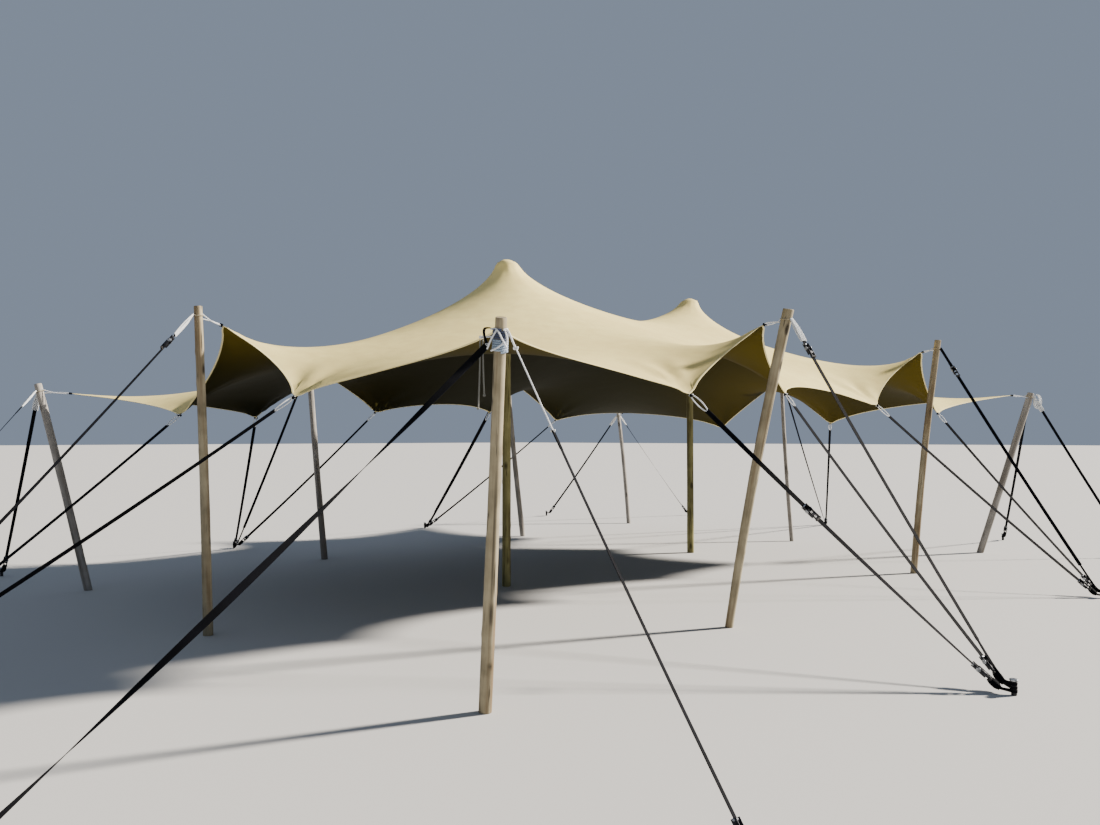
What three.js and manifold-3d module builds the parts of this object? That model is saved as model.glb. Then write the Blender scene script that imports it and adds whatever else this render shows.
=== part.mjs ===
// Stretch tent for a garden: one sheet of stretch cloth over two king poles, ten
// wooden edge poles that lean outwards, and webbing straps to steel pegs.
// Millimetres, +Z up, the ground is z = 0. X runs along the tent, Y across it,
// from the front long side to the back one. Places are measured from the foot of
// the front left pole, and the whole tent is centred at the end.

import * as THREE from 'three';
import { mergeVertices } from 'three/addons/utils/BufferGeometryUtils.js';
import Module from 'manifold-3d';

const wasm = await Module();
wasm.setup();

// Cloth: thickness of its solid, and the grid that it is relaxed on
const CLOTH_THICK = 8;
const CELLS_ALONG = 36;
const CELLS_ACROSS = 24;
const STEPS_PER_CELL = 2;
const RELAX_ROUNDS = 500;
const OVER_RELAX = 1.93;

// Pull of the hem against the pull of the cloth, with some tighter stretches of it, given
// by their cells
const HEM_PULL = { front: 7, back: 11, left: 7, right: 11 };
const TIGHT_HEMS = [
  { side: 'front', from: 21, to: 26, pull: 12 },
  { side: 'front', from: 29, to: 36, pull: 20 },
  { side: 'left', from: 16, to: 24, pull: 30 },
];

// The stiffer patch over a king pole: its reach and its core in cells, and how fast its
// stiffness falls off
const PATCH_REACH = 2.8;
const PATCH_CORE = 0.2;
const PATCH_FALL = 1.4;

// The cloth lies on a rounded nub this wide over each king pole, and drops this far round it
const NUB_RADIUS = 110;
const NUB_DROP = 45;

// Wood
const POLE_SIDES = 10;
const POLE_RINGS = 3;
const KING_FOOT_RADIUS = 47;
const KING_TOP_RADIUS = 43;
const KING_CAP_HEIGHT = 120;
const KING_CAP_RADIUS = 60;

// Ropes, webbing and pegs
const GAP = 0.35;
const ROPE_RADIUS = 6;
const ROPE_REACH = 150;
const GUY_ROPE_REACH = 190;
const HANK_RADIUS = 18;
const HANK_FROM_POLE = 30;
const WEB_WIDTH = 36;
const WEB_THICK = 5;
const RATCHET_LENGTH = 150;
const RATCHET_WIDTH = 48;
const RATCHET_THICK = 34;
const RATCHET_ABOVE_LOOP = 80;
const RATCHET_FROM_POLE = 210;
const LOOP_LENGTH = 70;
const LOOP_OVERLAP = 8;
const LOOP_WIDTH = 20;
const LOOP_THICK = 10;
const PEG_RADIUS = 17;
const PEG_HEIGHT = 100;
const PEG_HEAD_RADIUS = 26;
const PEG_HEAD_THICK = 12;
const LASHING_HEIGHT = 56;
const LASHING_THICK = 11;
const KNOT_RADIUS = 13;
const SIDE_KNOT_RADIUS = 14;
const SIDE_KNOT_HEIGHT = 26;
const GUY_GRIP = 6;
const TAIL_RADIUS = 4;

// King poles: foot in plan, height of the cloth above it, and its grid cell
const KING_POLES = {
  left: { foot: [2988, 2892], peak: 3552, cell: [12, 12] },
  right: { foot: [6565, 2880], peak: 3568, cell: [25, 12] },
};

// Edge poles: foot in plan, top, sideways bow at mid height, foot and top radius, wood,
// the cloth's high tip beside the pole, the grid cell of that tip, and the height of the
// lashing. At one pole each guy hangs on a hitch that stands off the lashing, and has rope
// of its own length.
const EDGE_POLES = {
  front_left: {
    foot: [40, 35], top: [-355, -505, 2220], bow: [1, -1], radii: [40, 30], wood: 'tan',
    tip: [-175, -292, 2195], cell: [0, 0], lash: 2125,
    sideKnot: [-42, 98], hitches: [[54, -59, -62], [-50, 45, -45]], guyRopes: [520, 0],
  },
  front_a: {
    foot: [2917, 117], top: [2890, -464, 2640], bow: [-18, 20], radii: [34, 44], wood: 'tan',
    tip: [2880, -242, 2530], cell: [11, 0], lash: 2560,
  },
  front_b: {
    foot: [6869, -35], top: [6812, -364, 2740], bow: [-2, 21], radii: [40, 35], wood: 'tan',
    tip: [6740, -202, 2600], cell: [26, 0], lash: 2645,
  },
  front_right: {
    foot: [9312, -91], top: [9668, -676, 2225], bow: [18, 4], radii: [45, 42], wood: 'grey',
    tip: [9460, -475, 2190], cell: [36, 0], lash: 2175,
  },
  right_mid: {
    foot: [8723, 2438], top: [9041, 2757, 2650], bow: [-12, 10], radii: [32, 28], wood: 'grey',
    tip: [8850, 2700, 2500], cell: [36, 12], lash: 2575,
  },
  back_right: {
    foot: [9140, 5930], top: [9450, 6420, 2110], bow: [10, -10], radii: [38, 33], wood: 'grey',
    tip: [9300, 6200, 2080], cell: [36, 24], lash: 2035,
  },
  back_b: {
    foot: [6348, 5966], top: [6310, 6300, 2650], bow: [-12, 8], radii: [42, 37], wood: 'grey',
    tip: [6300, 6150, 2520], cell: [25, 24], lash: 2575,
  },
  back_a: {
    foot: [2744, 6087], top: [2750, 6530, 2620], bow: [-4, 4], radii: [42, 38], wood: 'grey',
    tip: [2750, 6270, 2500], cell: [11, 24], lash: 2545,
  },
  back_left: {
    foot: [-168, 5954], top: [-571, 6325, 2170], bow: [0, -22], radii: [39, 37], wood: 'grey',
    tip: [-315, 6090, 2070], cell: [0, 24], lash: 2095,
  },
  left_mid: {
    foot: [-208, 3075], top: [-358, 3005, 2660], bow: [5, -6], radii: [40, 32], wood: 'tan',
    tip: [-165, 2972, 2515], cell: [0, 12], lash: 2590,
  },
};

// Low points of the hem, each held down by one strap: place, and grid cell. One strap has
// a second ratchet, with this much webbing under it.
const LOW_POINTS = {
  front_1: { at: [1900, -170, 1926], cell: [8, 0], secondRatchet: 1500 },
  front_2: { at: [3600, -70, 2000], cell: [14, 0] },
  front_3: { at: [5613, -104, 1958], cell: [21, 0] },
  front_4: { at: [7484, -133, 1912], cell: [29, 0] },
  right_1: { at: [8950, 1900, 1830], cell: [36, 9] },
  right_2: { at: [8950, 3800, 1786], cell: [36, 15] },
  back_4: { at: [7080, 5900, 1906], cell: [28, 24] },
  back_3: { at: [5550, 5900, 2006], cell: [22, 24] },
  back_2: { at: [3410, 5900, 1957], cell: [14, 24] },
  back_1: { at: [1660, 5900, 1855], cell: [7, 24] },
  left_2: { at: [-70, 3980, 1815], cell: [0, 16] },
  left_1: { at: [-70, 2000, 1910], cell: [0, 8] },
};

// Pegs shared by a pole's guy and the two low points beside it: place, and who they hold
const SIDE_PEGS = {
  front_a: { at: [2494, -2148], pole: 'front_a', lows: ['front_1', 'front_2'] },
  front_b: { at: [6590, -1985], pole: 'front_b', lows: ['front_3', 'front_4'] },
  right: { at: [11400, 3100], pole: 'right_mid', lows: ['right_1', 'right_2'] },
  back_b: { at: [6020, 8085], pole: 'back_b', lows: ['back_3', 'back_4'] },
  back_a: { at: [2450, 8015], pole: 'back_a', lows: ['back_1', 'back_2'] },
  left: { at: [-2583, 3039], pole: 'left_mid', lows: ['left_1', 'left_2'] },
};
const LOW_STRAP_LEVELS = [24, 46];
const GUY_LEVEL = 70;

// Each corner pole has two guys, each with a peg of its own
const CORNER_PEGS = {
  front_left: [[-636, -2186], [-2649, 64]],
  front_right: [[10200, -1800], [11090, 65]],
  back_right: [[11300, 6000], [9200, 8100]],
  back_left: [[-540, 7650], [-2400, 5600]],
};
const CORNER_GUY_LEVEL = 56;

// Two loose ends of lashing rope that hang from the side knot of the front left pole:
// place under the knot, and length
const ROPE_TAILS = {
  long: { place: [-5, 5], length: 360 },
  short: { place: [5, -5], length: 290 },
};
const TAIL_SWAY = 12;

// Colours
const CLOTH_COLOUR = '#d8c8a8';
const WOOD_COLOURS = { tan: '#c2ab82', grey: '#a39a89', king: '#8d7850' };
const ROPE_COLOUR = '#e6e6e2';
const WEB_COLOUR = '#17181c';
const PEG_COLOUR = '#1d1d20';
const RUBBER_COLOUR = '#2a2927';

const tent = new THREE.Group();

function finish(name, geometry, colour, roughness, metalness = 0) {
  const material = new THREE.MeshStandardMaterial({ color: colour, roughness, metalness });
  const mesh = new THREE.Mesh(geometry, material);
  mesh.name = name;
  tent.add(mesh);
  return mesh;
}

// Joins and cuts
function toSolid(geometry) {
  const bare = geometry.clone();
  bare.deleteAttribute('normal');
  bare.deleteAttribute('uv');
  const merged = mergeVertices(bare, 1e-3);
  return new wasm.Manifold(new wasm.Mesh({
    numProp: 3,
    vertProperties: new Float32Array(merged.attributes.position.array),
    triVerts: new Uint32Array(merged.index.array),
  }));
}

function toGeometry(solid) {
  const mesh = solid.getMesh();
  const geometry = new THREE.BufferGeometry();
  geometry.setAttribute('position', new THREE.BufferAttribute(mesh.vertProperties, 3));
  geometry.setIndex(new THREE.BufferAttribute(mesh.triVerts, 1));
  geometry.computeVertexNormals();
  return geometry;
}

// Turn a piece made along +Z so that it runs from one point towards another
function aim(geometry, from, to) {
  const way = to.clone().sub(from).normalize();
  const side = new THREE.Vector3(0, 0, 1).cross(way);
  if (side.length() < 1e-6) {
    side.set(1, 0, 0);
  }
  side.normalize();
  const up = way.clone().cross(side);
  const place = new THREE.Matrix4().makeBasis(side, up, way).setPosition(from);
  return geometry.applyMatrix4(place);
}

// Cloth: a net of equal pulls, with a stronger hem, held at its tips, low points and peaks
function relaxedCloth() {
  const along = CELLS_ALONG * STEPS_PER_CELL;
  const across = CELLS_ACROSS * STEPS_PER_CELL;
  const at = (i, j) => i * (across + 1) + j;
  const held = new Map();
  const hold = (cell, place) => {
    held.set(at(cell[0] * STEPS_PER_CELL, cell[1] * STEPS_PER_CELL), new THREE.Vector3(...place));
  };
  for (const pole of Object.values(EDGE_POLES)) {
    hold(pole.cell, pole.tip);
  }
  for (const low of Object.values(LOW_POINTS)) {
    hold(low.cell, low.at);
  }
  for (const king of Object.values(KING_POLES)) {
    hold(king.cell, [...king.foot, king.peak]);
    for (let k = 0; k < 8; k++) {
      const turn = k * Math.PI / 4;
      const step = [Math.round(Math.cos(turn)), Math.round(Math.sin(turn))];
      hold(king.cell.map((cell, axis) => cell + step[axis] / STEPS_PER_CELL), [
        king.foot[0] + NUB_RADIUS * Math.cos(turn),
        king.foot[1] + NUB_RADIUS * Math.sin(turn),
        king.peak - NUB_DROP,
      ]);
    }
  }

  // Near a king pole the doubled patch makes the cloth stiffer
  const stiffness = (i, j) => {
    let extra = 0;
    for (const king of Object.values(KING_POLES)) {
      const away = Math.hypot(i / STEPS_PER_CELL - king.cell[0], j / STEPS_PER_CELL - king.cell[1]);
      extra += (PATCH_REACH / (away + PATCH_CORE)) ** PATCH_FALL;
    }
    return 1 + extra;
  };
  const hemPull = (side, step) => {
    const tight = TIGHT_HEMS.find((stretch) => stretch.side === side
      && step >= stretch.from * STEPS_PER_CELL && step < stretch.to * STEPS_PER_CELL);
    return STEPS_PER_CELL * (tight ? tight.pull : HEM_PULL[side]);
  };
  const pullAlong = (i, j) => {
    if (j === 0) return hemPull('front', i);
    return j === across ? hemPull('back', i) : stiffness(i + 0.5, j);
  };
  const pullAcross = (i, j) => {
    if (i === 0) return hemPull('left', j);
    return i === along ? hemPull('right', j) : stiffness(i, j + 0.5);
  };

  // Start from a flat sheet between the corners, then let each free point settle
  const corners = ['front_left', 'front_right', 'back_left', 'back_right']
    .map((name) => new THREE.Vector3(...EDGE_POLES[name].tip));
  const points = [];
  const free = [];
  for (let i = 0; i <= along; i++) {
    for (let j = 0; j <= across; j++) {
      const front = corners[0].clone().lerp(corners[1], i / along);
      const back = corners[2].clone().lerp(corners[3], i / along);
      points.push(held.get(at(i, j)) ?? front.lerp(back, j / across));
      if (!held.has(at(i, j))) {
        const links = [];
        if (i > 0) links.push([at(i - 1, j), pullAlong(i - 1, j)]);
        if (i < along) links.push([at(i + 1, j), pullAlong(i, j)]);
        if (j > 0) links.push([at(i, j - 1), pullAcross(i, j - 1)]);
        if (j < across) links.push([at(i, j + 1), pullAcross(i, j)]);
        const total = links.reduce((sum, [, pull]) => sum + pull, 0);
        free.push({ point: at(i, j), links: links.map(([to, pull]) => [to, pull / total]) });
      }
    }
  }
  for (let round = 0; round < RELAX_ROUNDS; round++) {
    for (const { point, links } of free) {
      let x = 0;
      let y = 0;
      let z = 0;
      for (const [to, share] of links) {
        x += points[to].x * share;
        y += points[to].y * share;
        z += points[to].z * share;
      }
      const own = points[point];
      own.x += (x - own.x) * OVER_RELAX;
      own.y += (y - own.y) * OVER_RELAX;
      own.z += (z - own.z) * OVER_RELAX;
    }
  }
  return (i, j) => points[at(i, j)];
}

// The cloth's solid: the relaxed sheet given a top face, a bottom face and a rim
function canopyGeometry(sheet) {
  const columns = CELLS_ACROSS + 1;
  const layer = (CELLS_ALONG + 1) * columns;
  const tops = [];
  const bottoms = [];
  for (let a = 0; a <= CELLS_ALONG; a++) {
    for (let b = 0; b <= CELLS_ACROSS; b++) {
      const { middle, normal } = clothAt(sheet, [a, b]);
      tops.push(...middle.clone().addScaledVector(normal, CLOTH_THICK / 2).toArray());
      bottoms.push(...middle.clone().addScaledVector(normal, -CLOTH_THICK / 2).toArray());
    }
  }
  const faces = [];
  const quad = (p, q, r, s) => faces.push(p, q, r, p, r, s);
  for (let a = 0; a < CELLS_ALONG; a++) {
    for (let b = 0; b < CELLS_ACROSS; b++) {
      const k = a * columns + b;
      quad(k, k + columns, k + columns + 1, k + 1);
      quad(layer + k, layer + k + 1, layer + k + columns + 1, layer + k + columns);
    }
  }
  const rim = [];
  for (let a = 0; a < CELLS_ALONG; a++) rim.push(a * columns);
  for (let b = 0; b < CELLS_ACROSS; b++) rim.push(CELLS_ALONG * columns + b);
  for (let a = CELLS_ALONG; a > 0; a--) rim.push(a * columns + CELLS_ACROSS);
  for (let b = CELLS_ACROSS; b > 0; b--) rim.push(b);
  rim.forEach((p, index) => {
    const q = rim[(index + 1) % rim.length];
    quad(layer + p, layer + q, q, p);
  });
  const geometry = new THREE.BufferGeometry();
  geometry.setAttribute('position', new THREE.Float32BufferAttribute([...tops, ...bottoms], 3));
  geometry.setIndex(faces);
  geometry.computeVertexNormals();
  return geometry;
}

// Middle of the cloth and its normal at one grid cell
function clothAt(sheet, [a, b]) {
  const lastI = CELLS_ALONG * STEPS_PER_CELL;
  const lastJ = CELLS_ACROSS * STEPS_PER_CELL;
  const i = a * STEPS_PER_CELL;
  const j = b * STEPS_PER_CELL;
  const alongway = sheet(Math.min(i + 1, lastI), j).clone().sub(sheet(Math.max(i - 1, 0), j));
  const crossway = sheet(i, Math.min(j + 1, lastJ)).clone().sub(sheet(i, Math.max(j - 1, 0)));
  return { middle: sheet(i, j), normal: alongway.cross(crossway).normalize() };
}

// The knot that sits just outside a held point of the hem, on the side of its rope: its
// centre, and the nearest point of the cloth's edge, which its gap is measured from
function knotBeside(sheet, [a, b], target) {
  const onHem = ([p, q]) => p >= 0 && q >= 0 && p <= CELLS_ALONG && q <= CELLS_ACROSS
    && (p === 0 || q === 0 || p === CELLS_ALONG || q === CELLS_ACROSS);
  const [before, after] = [[a - 1, b], [a, b - 1], [a, b + 1], [a + 1, b]].filter(onHem)
    .map((cell) => clothAt(sheet, cell).middle);
  const chord = after.clone().sub(before).normalize();
  const { middle, normal } = clothAt(sheet, [a, b]);
  const out = target.clone().sub(middle).normalize();
  out.addScaledVector(chord, -out.dot(chord)).normalize();
  const half = CLOTH_THICK / 2;
  const tilt = normal.dot(out);
  const room = KNOT_RADIUS + GAP;
  let away = room / Math.sqrt(1 - tilt ** 2);
  let side = away * tilt;
  if (Math.abs(side) > half) {
    away = half * Math.abs(tilt) + Math.sqrt(room ** 2 - half ** 2 * (1 - tilt ** 2));
    side = half * Math.sign(tilt);
  }
  return {
    centre: middle.clone().addScaledVector(out, away),
    edge: middle.clone().addScaledVector(normal, side),
  };
}

// One corner of the knot's ball points at the cloth, so that the gap is true there
function knotGeometry(knot) {
  const ball = new THREE.SphereGeometry(KNOT_RADIUS, 6, 4);
  ball.rotateX(Math.PI / 2);
  return aim(ball, knot.centre, knot.edge);
}

// Point on a pole's bowed axis, at a share of its height
function poleAxis(pole, share) {
  const foot = new THREE.Vector3(...pole.foot, 0);
  const point = foot.lerp(new THREE.Vector3(...pole.top), share);
  const bow = Math.sin(Math.PI * share);
  return point.add(new THREE.Vector3(pole.bow[0] * bow, pole.bow[1] * bow, 0));
}

// A pole is a tapered post whose foot is cut level with the ground
function poleGeometry(pole, extra = 0) {
  const [footRadius, topRadius] = pole.radii;
  const geometry = new THREE.CylinderGeometry(topRadius + extra, footRadius + extra, 1, POLE_SIDES,
    POLE_RINGS);
  const place = geometry.attributes.position;
  const lean = new THREE.Vector3(...pole.top).sub(new THREE.Vector3(...pole.foot, 0)).normalize();
  const upright = new THREE.Vector3(0, 0, 1);
  const turn = new THREE.Quaternion().setFromUnitVectors(upright, lean);
  const vertex = new THREE.Vector3();
  for (let k = 0; k < place.count; k++) {
    const share = place.getY(k) + 0.5;
    vertex.set(place.getX(k), -place.getZ(k), 0);
    if (share > 0) {
      vertex.applyQuaternion(turn);
    }
    vertex.add(poleAxis(pole, share));
    place.setXYZ(k, vertex.x, vertex.y, vertex.z);
  }
  return geometry;
}

// The collar of rope turns round a pole
function collarGeometry(pole, extra = 0) {
  const half = LASHING_HEIGHT / 2 + extra;
  const low = poleAxis(pole, (pole.lash - half) / pole.top[2]);
  const high = poleAxis(pole, (pole.lash + half) / pole.top[2]);
  const radius = pole.radii[1] + LASHING_THICK + extra;
  const collar = new THREE.CylinderGeometry(radius, radius, low.distanceTo(high), POLE_SIDES);
  collar.rotateX(Math.PI / 2);
  collar.translate(0, 0, low.distanceTo(high) / 2);
  return aim(collar, low, high);
}

// A lashing is that collar with a short rope to the cloth's tip
function lashingGeometry(pole, sheet) {
  const from = poleAxis(pole, pole.lash / pole.top[2]);
  const knot = knotBeside(sheet, pole.cell, from);
  let rope = toSolid(collarGeometry(pole))
    .add(toSolid(ropeGeometry(from, knot.centre, ROPE_RADIUS)))
    .add(toSolid(knotGeometry(knot)));
  if (pole.sideKnot) {
    const stub = from.clone().add(new THREE.Vector3(...pole.sideKnot, 0));
    const lump = new THREE.CylinderGeometry(SIDE_KNOT_RADIUS, SIDE_KNOT_RADIUS, SIDE_KNOT_HEIGHT, 8);
    lump.rotateX(Math.PI / 2);
    lump.translate(stub.x, stub.y, stub.z);
    rope = rope.add(toSolid(ropeGeometry(from, stub, ROPE_RADIUS))).add(toSolid(lump));
  }
  return toGeometry(rope.subtract(toSolid(poleGeometry(pole, GAP))));
}

function ropeGeometry(from, to, radius) {
  const length = from.distanceTo(to);
  const rope = new THREE.CylinderGeometry(radius, radius, length, 6);
  rope.rotateX(Math.PI / 2);
  rope.translate(0, 0, length / 2);
  return aim(rope, from, to);
}

function barGeometry(from, to, start, end, width, thick) {
  const bar = new THREE.BoxGeometry(width, thick, end - start);
  bar.translate(0, 0, (start + end) / 2);
  return aim(bar, from, to);
}

// A strap is rope at its upper end, then webbing with a ratchet, and a narrow level loop to
// the peg, so that straps to one peg lie over each other. A ratchet's place is given by the
// webbing that is left under it.
function strapSolid(from, peg, reach, ...ratchets) {
  const out = new THREE.Vector3(from.x - peg.x, from.y - peg.y, 0).normalize();
  const to = peg.clone().addScaledVector(out, LOOP_LENGTH);
  const length = from.distanceTo(to);
  const rope = toSolid(ropeGeometry(from, from.clone().lerp(to, (reach + 30) / length), ROPE_RADIUS));
  const web = toSolid(barGeometry(from, to, reach, length, WEB_WIDTH, WEB_THICK));
  const loop = toSolid(barGeometry(to, peg, -LOOP_OVERLAP, LOOP_LENGTH, LOOP_WIDTH, LOOP_THICK));
  return ratchets.reduce((strap, below) => {
    const end = length - below;
    const box = barGeometry(from, to, end - RATCHET_LENGTH, end, RATCHET_WIDTH, RATCHET_THICK);
    return strap.add(toSolid(box));
  }, rope.add(web).add(loop));
}

function pegGeometry(place, extra = 0) {
  const outline = [
    [0, 0],
    [PEG_RADIUS + extra, 0],
    [PEG_RADIUS + extra, PEG_HEIGHT - PEG_HEAD_THICK - extra],
    [PEG_HEAD_RADIUS + extra, PEG_HEIGHT - PEG_HEAD_THICK - extra],
    [PEG_HEAD_RADIUS + extra, PEG_HEIGHT + extra],
    [0, PEG_HEIGHT + extra],
  ];
  const peg = new THREE.LatheGeometry(outline.map(([r, z]) => new THREE.Vector2(r, z)), 8);
  peg.rotateX(Math.PI / 2);
  peg.translate(place[0], place[1], 0);
  return peg;
}

// A strap from a low point starts with a knot just outside the cloth
function lowStrap(low, pegPlace, level, sheet) {
  const peg = new THREE.Vector3(...pegPlace, level);
  const knot = knotBeside(sheet, low.cell, peg);
  const ratchets = low.secondRatchet ? [RATCHET_ABOVE_LOOP, low.secondRatchet] : [RATCHET_ABOVE_LOOP];
  return strapSolid(knot.centre, peg, ROPE_REACH, ...ratchets)
    .add(toSolid(knotGeometry(knot)))
    .subtract(toSolid(pegGeometry(pegPlace, GAP)));
}

// A guy before it is cut round its peg, or joined to it. Its upper end is a hank of rope
// on the outer face of the lashing, or at one pole a rope to a hitch that stands off it.
function guySolid(pole, number, pegPlace, level, ratchet) {
  const middle = poleAxis(pole, pole.lash / pole.top[2]);
  const peg = new THREE.Vector3(...pegPlace, level);
  const hitch = pole.hitches?.[number];
  const start = middle.clone();
  if (hitch) {
    start.add(new THREE.Vector3(...hitch));
  } else {
    const out = new THREE.Vector3(peg.x - start.x, peg.y - start.y, 0).normalize();
    start.addScaledVector(out, pole.radii[1] + LASHING_THICK - GUY_GRIP);
  }
  const length = start.distanceTo(peg);
  const hank = [HANK_FROM_POLE, GUY_ROPE_REACH]
    .map((reach) => start.clone().lerp(peg, reach / length));
  const top = hitch
    ? toSolid(ropeGeometry(middle, start, ROPE_RADIUS))
      .add(toSolid(new THREE.SphereGeometry(KNOT_RADIUS, 8, 6).translate(start.x, start.y, start.z)))
    : toSolid(ropeGeometry(...hank, HANK_RADIUS));
  const below = ratchet === 'high'
    ? length - LOOP_LENGTH - RATCHET_FROM_POLE - RATCHET_LENGTH
    : RATCHET_ABOVE_LOOP;
  return strapSolid(start, peg, pole.guyRopes?.[number] ?? GUY_ROPE_REACH, below)
    .add(top)
    .subtract(toSolid(poleGeometry(pole, GAP)))
    .subtract(toSolid(collarGeometry(pole, GAP)));
}

// Build the cloth, the king poles and their caps
const sheet = relaxedCloth();
finish('canopy', canopyGeometry(sheet), CLOTH_COLOUR, 0.8);

for (const [side, king] of Object.entries(KING_POLES)) {
  const capTop = king.peak - CLOTH_THICK / 2 - GAP;
  const poleTop = capTop - KING_CAP_HEIGHT - GAP;
  const post = {
    foot: king.foot, top: [...king.foot, poleTop], bow: [0, 0], radii: [KING_FOOT_RADIUS, KING_TOP_RADIUS],
  };
  finish(`king_pole_${side}`, poleGeometry(post), WOOD_COLOURS.king, 0.75);
  const outline = [
    [0, 0],
    [KING_CAP_RADIUS, 0],
    [KING_CAP_RADIUS, KING_CAP_HEIGHT * 0.22],
    [KING_CAP_RADIUS * 0.8, KING_CAP_HEIGHT * 0.4],
    [KING_CAP_RADIUS * 0.5, KING_CAP_HEIGHT * 0.62],
    [KING_CAP_RADIUS * 0.15, KING_CAP_HEIGHT * 0.87],
    [0, KING_CAP_HEIGHT],
  ];
  const cap = new THREE.LatheGeometry(outline.map(([r, z]) => new THREE.Vector2(r, z)), POLE_SIDES);
  cap.rotateX(Math.PI / 2);
  cap.translate(king.foot[0], king.foot[1], capTop - KING_CAP_HEIGHT);
  finish(`king_cap_${side}`, cap, RUBBER_COLOUR, 0.85);
}

// Edge poles with their lashings
for (const [name, pole] of Object.entries(EDGE_POLES)) {
  finish(`pole_${name}`, poleGeometry(pole), WOOD_COLOURS[pole.wood], 0.8);
  finish(`lashing_${name}`, lashingGeometry(pole, sheet), ROPE_COLOUR, 0.85);
}

// Side pegs with a guy and two low straps each
for (const [name, peg] of Object.entries(SIDE_PEGS)) {
  finish(`peg_${name}`, pegGeometry(peg.at), PEG_COLOUR, 0.5, 0.6);
  const guy = guySolid(EDGE_POLES[peg.pole], 0, peg.at, GUY_LEVEL, 'high')
    .subtract(toSolid(pegGeometry(peg.at, GAP)));
  finish(`guy_${peg.pole}`, toGeometry(guy), WEB_COLOUR, 0.85);
  peg.lows.forEach((low, index) => {
    const strap = lowStrap(LOW_POINTS[low], peg.at, LOW_STRAP_LEVELS[index], sheet);
    finish(`strap_${low}`, toGeometry(strap), WEB_COLOUR, 0.85);
  });
}

// Corner guys, each made in one piece with its own peg
for (const [name, pegs] of Object.entries(CORNER_PEGS)) {
  pegs.forEach((place, index) => {
    const guy = guySolid(EDGE_POLES[name], index, place, CORNER_GUY_LEVEL, 'low')
      .add(toSolid(pegGeometry(place)));
    finish(`guy_${name}_${index + 1}`, toGeometry(guy), WEB_COLOUR, 0.85);
  });
}

// Loose rope ends that hang beside the front left pole
for (const [name, tail] of Object.entries(ROPE_TAILS)) {
  const pole = EDGE_POLES.front_left;
  const top = poleAxis(pole, pole.lash / pole.top[2]);
  top.x += pole.sideKnot[0] + tail.place[0];
  top.y += pole.sideKnot[1] + tail.place[1];
  top.z -= SIDE_KNOT_HEIGHT / 2 + GAP;
  const route = [0, 0.1, 0.3, 0.55, 0.8, 1].map((share) => new THREE.Vector3(
    top.x + TAIL_SWAY * Math.sign(tail.place[0]) * share ** 2,
    top.y,
    top.z - tail.length * share,
  ));
  const section = new THREE.Shape();
  section.absarc(0, 0, TAIL_RADIUS, 0, Math.PI * 2);
  const rope = new THREE.ExtrudeGeometry(section, {
    steps: 8, curveSegments: 4, bevelEnabled: false, extrudePath: new THREE.CatmullRomCurve3(route),
  });
  finish(`rope_tail_${name}`, rope, ROPE_COLOUR, 0.85);
}

// Centre the tent on its pegs and poles, with the ground at z = 0
const box = new THREE.Box3().setFromObject(tent, true);
tent.position.set(-(box.min.x + box.max.x) / 2, -(box.min.y + box.max.y) / 2, 0);
tent.updateMatrixWorld(true);

export default tent;
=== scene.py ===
import math
from contextlib import contextmanager

import bpy
import numpy as np
from mathutils import Matrix, Vector


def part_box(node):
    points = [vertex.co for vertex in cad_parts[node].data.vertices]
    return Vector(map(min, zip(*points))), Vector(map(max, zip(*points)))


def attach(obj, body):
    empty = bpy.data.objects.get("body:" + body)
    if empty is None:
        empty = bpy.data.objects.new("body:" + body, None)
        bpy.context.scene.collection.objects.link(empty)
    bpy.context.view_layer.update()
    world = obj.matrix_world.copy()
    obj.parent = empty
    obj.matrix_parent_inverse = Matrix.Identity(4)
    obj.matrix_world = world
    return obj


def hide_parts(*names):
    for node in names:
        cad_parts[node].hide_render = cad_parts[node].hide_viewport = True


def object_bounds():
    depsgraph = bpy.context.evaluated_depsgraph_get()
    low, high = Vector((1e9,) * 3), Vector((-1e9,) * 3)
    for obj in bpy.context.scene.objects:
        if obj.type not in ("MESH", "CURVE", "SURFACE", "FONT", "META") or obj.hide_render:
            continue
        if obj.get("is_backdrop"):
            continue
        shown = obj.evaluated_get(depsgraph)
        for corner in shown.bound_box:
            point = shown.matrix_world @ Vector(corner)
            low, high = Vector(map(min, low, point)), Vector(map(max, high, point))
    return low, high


# Looks of a stretch tent: one sheet of stretch cloth over two king poles, ten wooden edge
# poles, rope lashings, and webbing straps with ratchets to steel pegs. Metres, +Z up.
# Places are in millimetres from the foot of the front left pole, as in the part's source.

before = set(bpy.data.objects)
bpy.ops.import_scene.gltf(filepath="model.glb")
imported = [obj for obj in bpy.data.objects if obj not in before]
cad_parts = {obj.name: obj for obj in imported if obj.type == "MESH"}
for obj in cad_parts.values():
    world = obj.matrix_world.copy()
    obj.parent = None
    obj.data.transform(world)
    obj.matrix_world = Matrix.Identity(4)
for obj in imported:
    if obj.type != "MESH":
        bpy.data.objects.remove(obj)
cad_low, cad_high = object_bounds()

MM = 0.001
UP = np.array([0.0, 0.0, 1.0])
FLAT = np.array([1, 1, 0])

# Camera: at the height of the photograph's horizon
EYE = [-3278.4, -3553.7, 1600]
LOOK_ALONG = (0.7337, 0.6794)
LOOK_UP_DEGREES = 1.77
LENS_MM = 27.0
SENSOR_MM = 36
VIEW_REACH = 600

# Sun and sky of a soft studio
SUN_AZIMUTH_DEGREES = 77
SUN_HEIGHT_DEGREES = 29
SUN_STRENGTH = 14
SUN_SOFTNESS_DEGREES = 4
SKY_STRENGTH = 0.42
FLOOR_SIZE = 400

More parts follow.
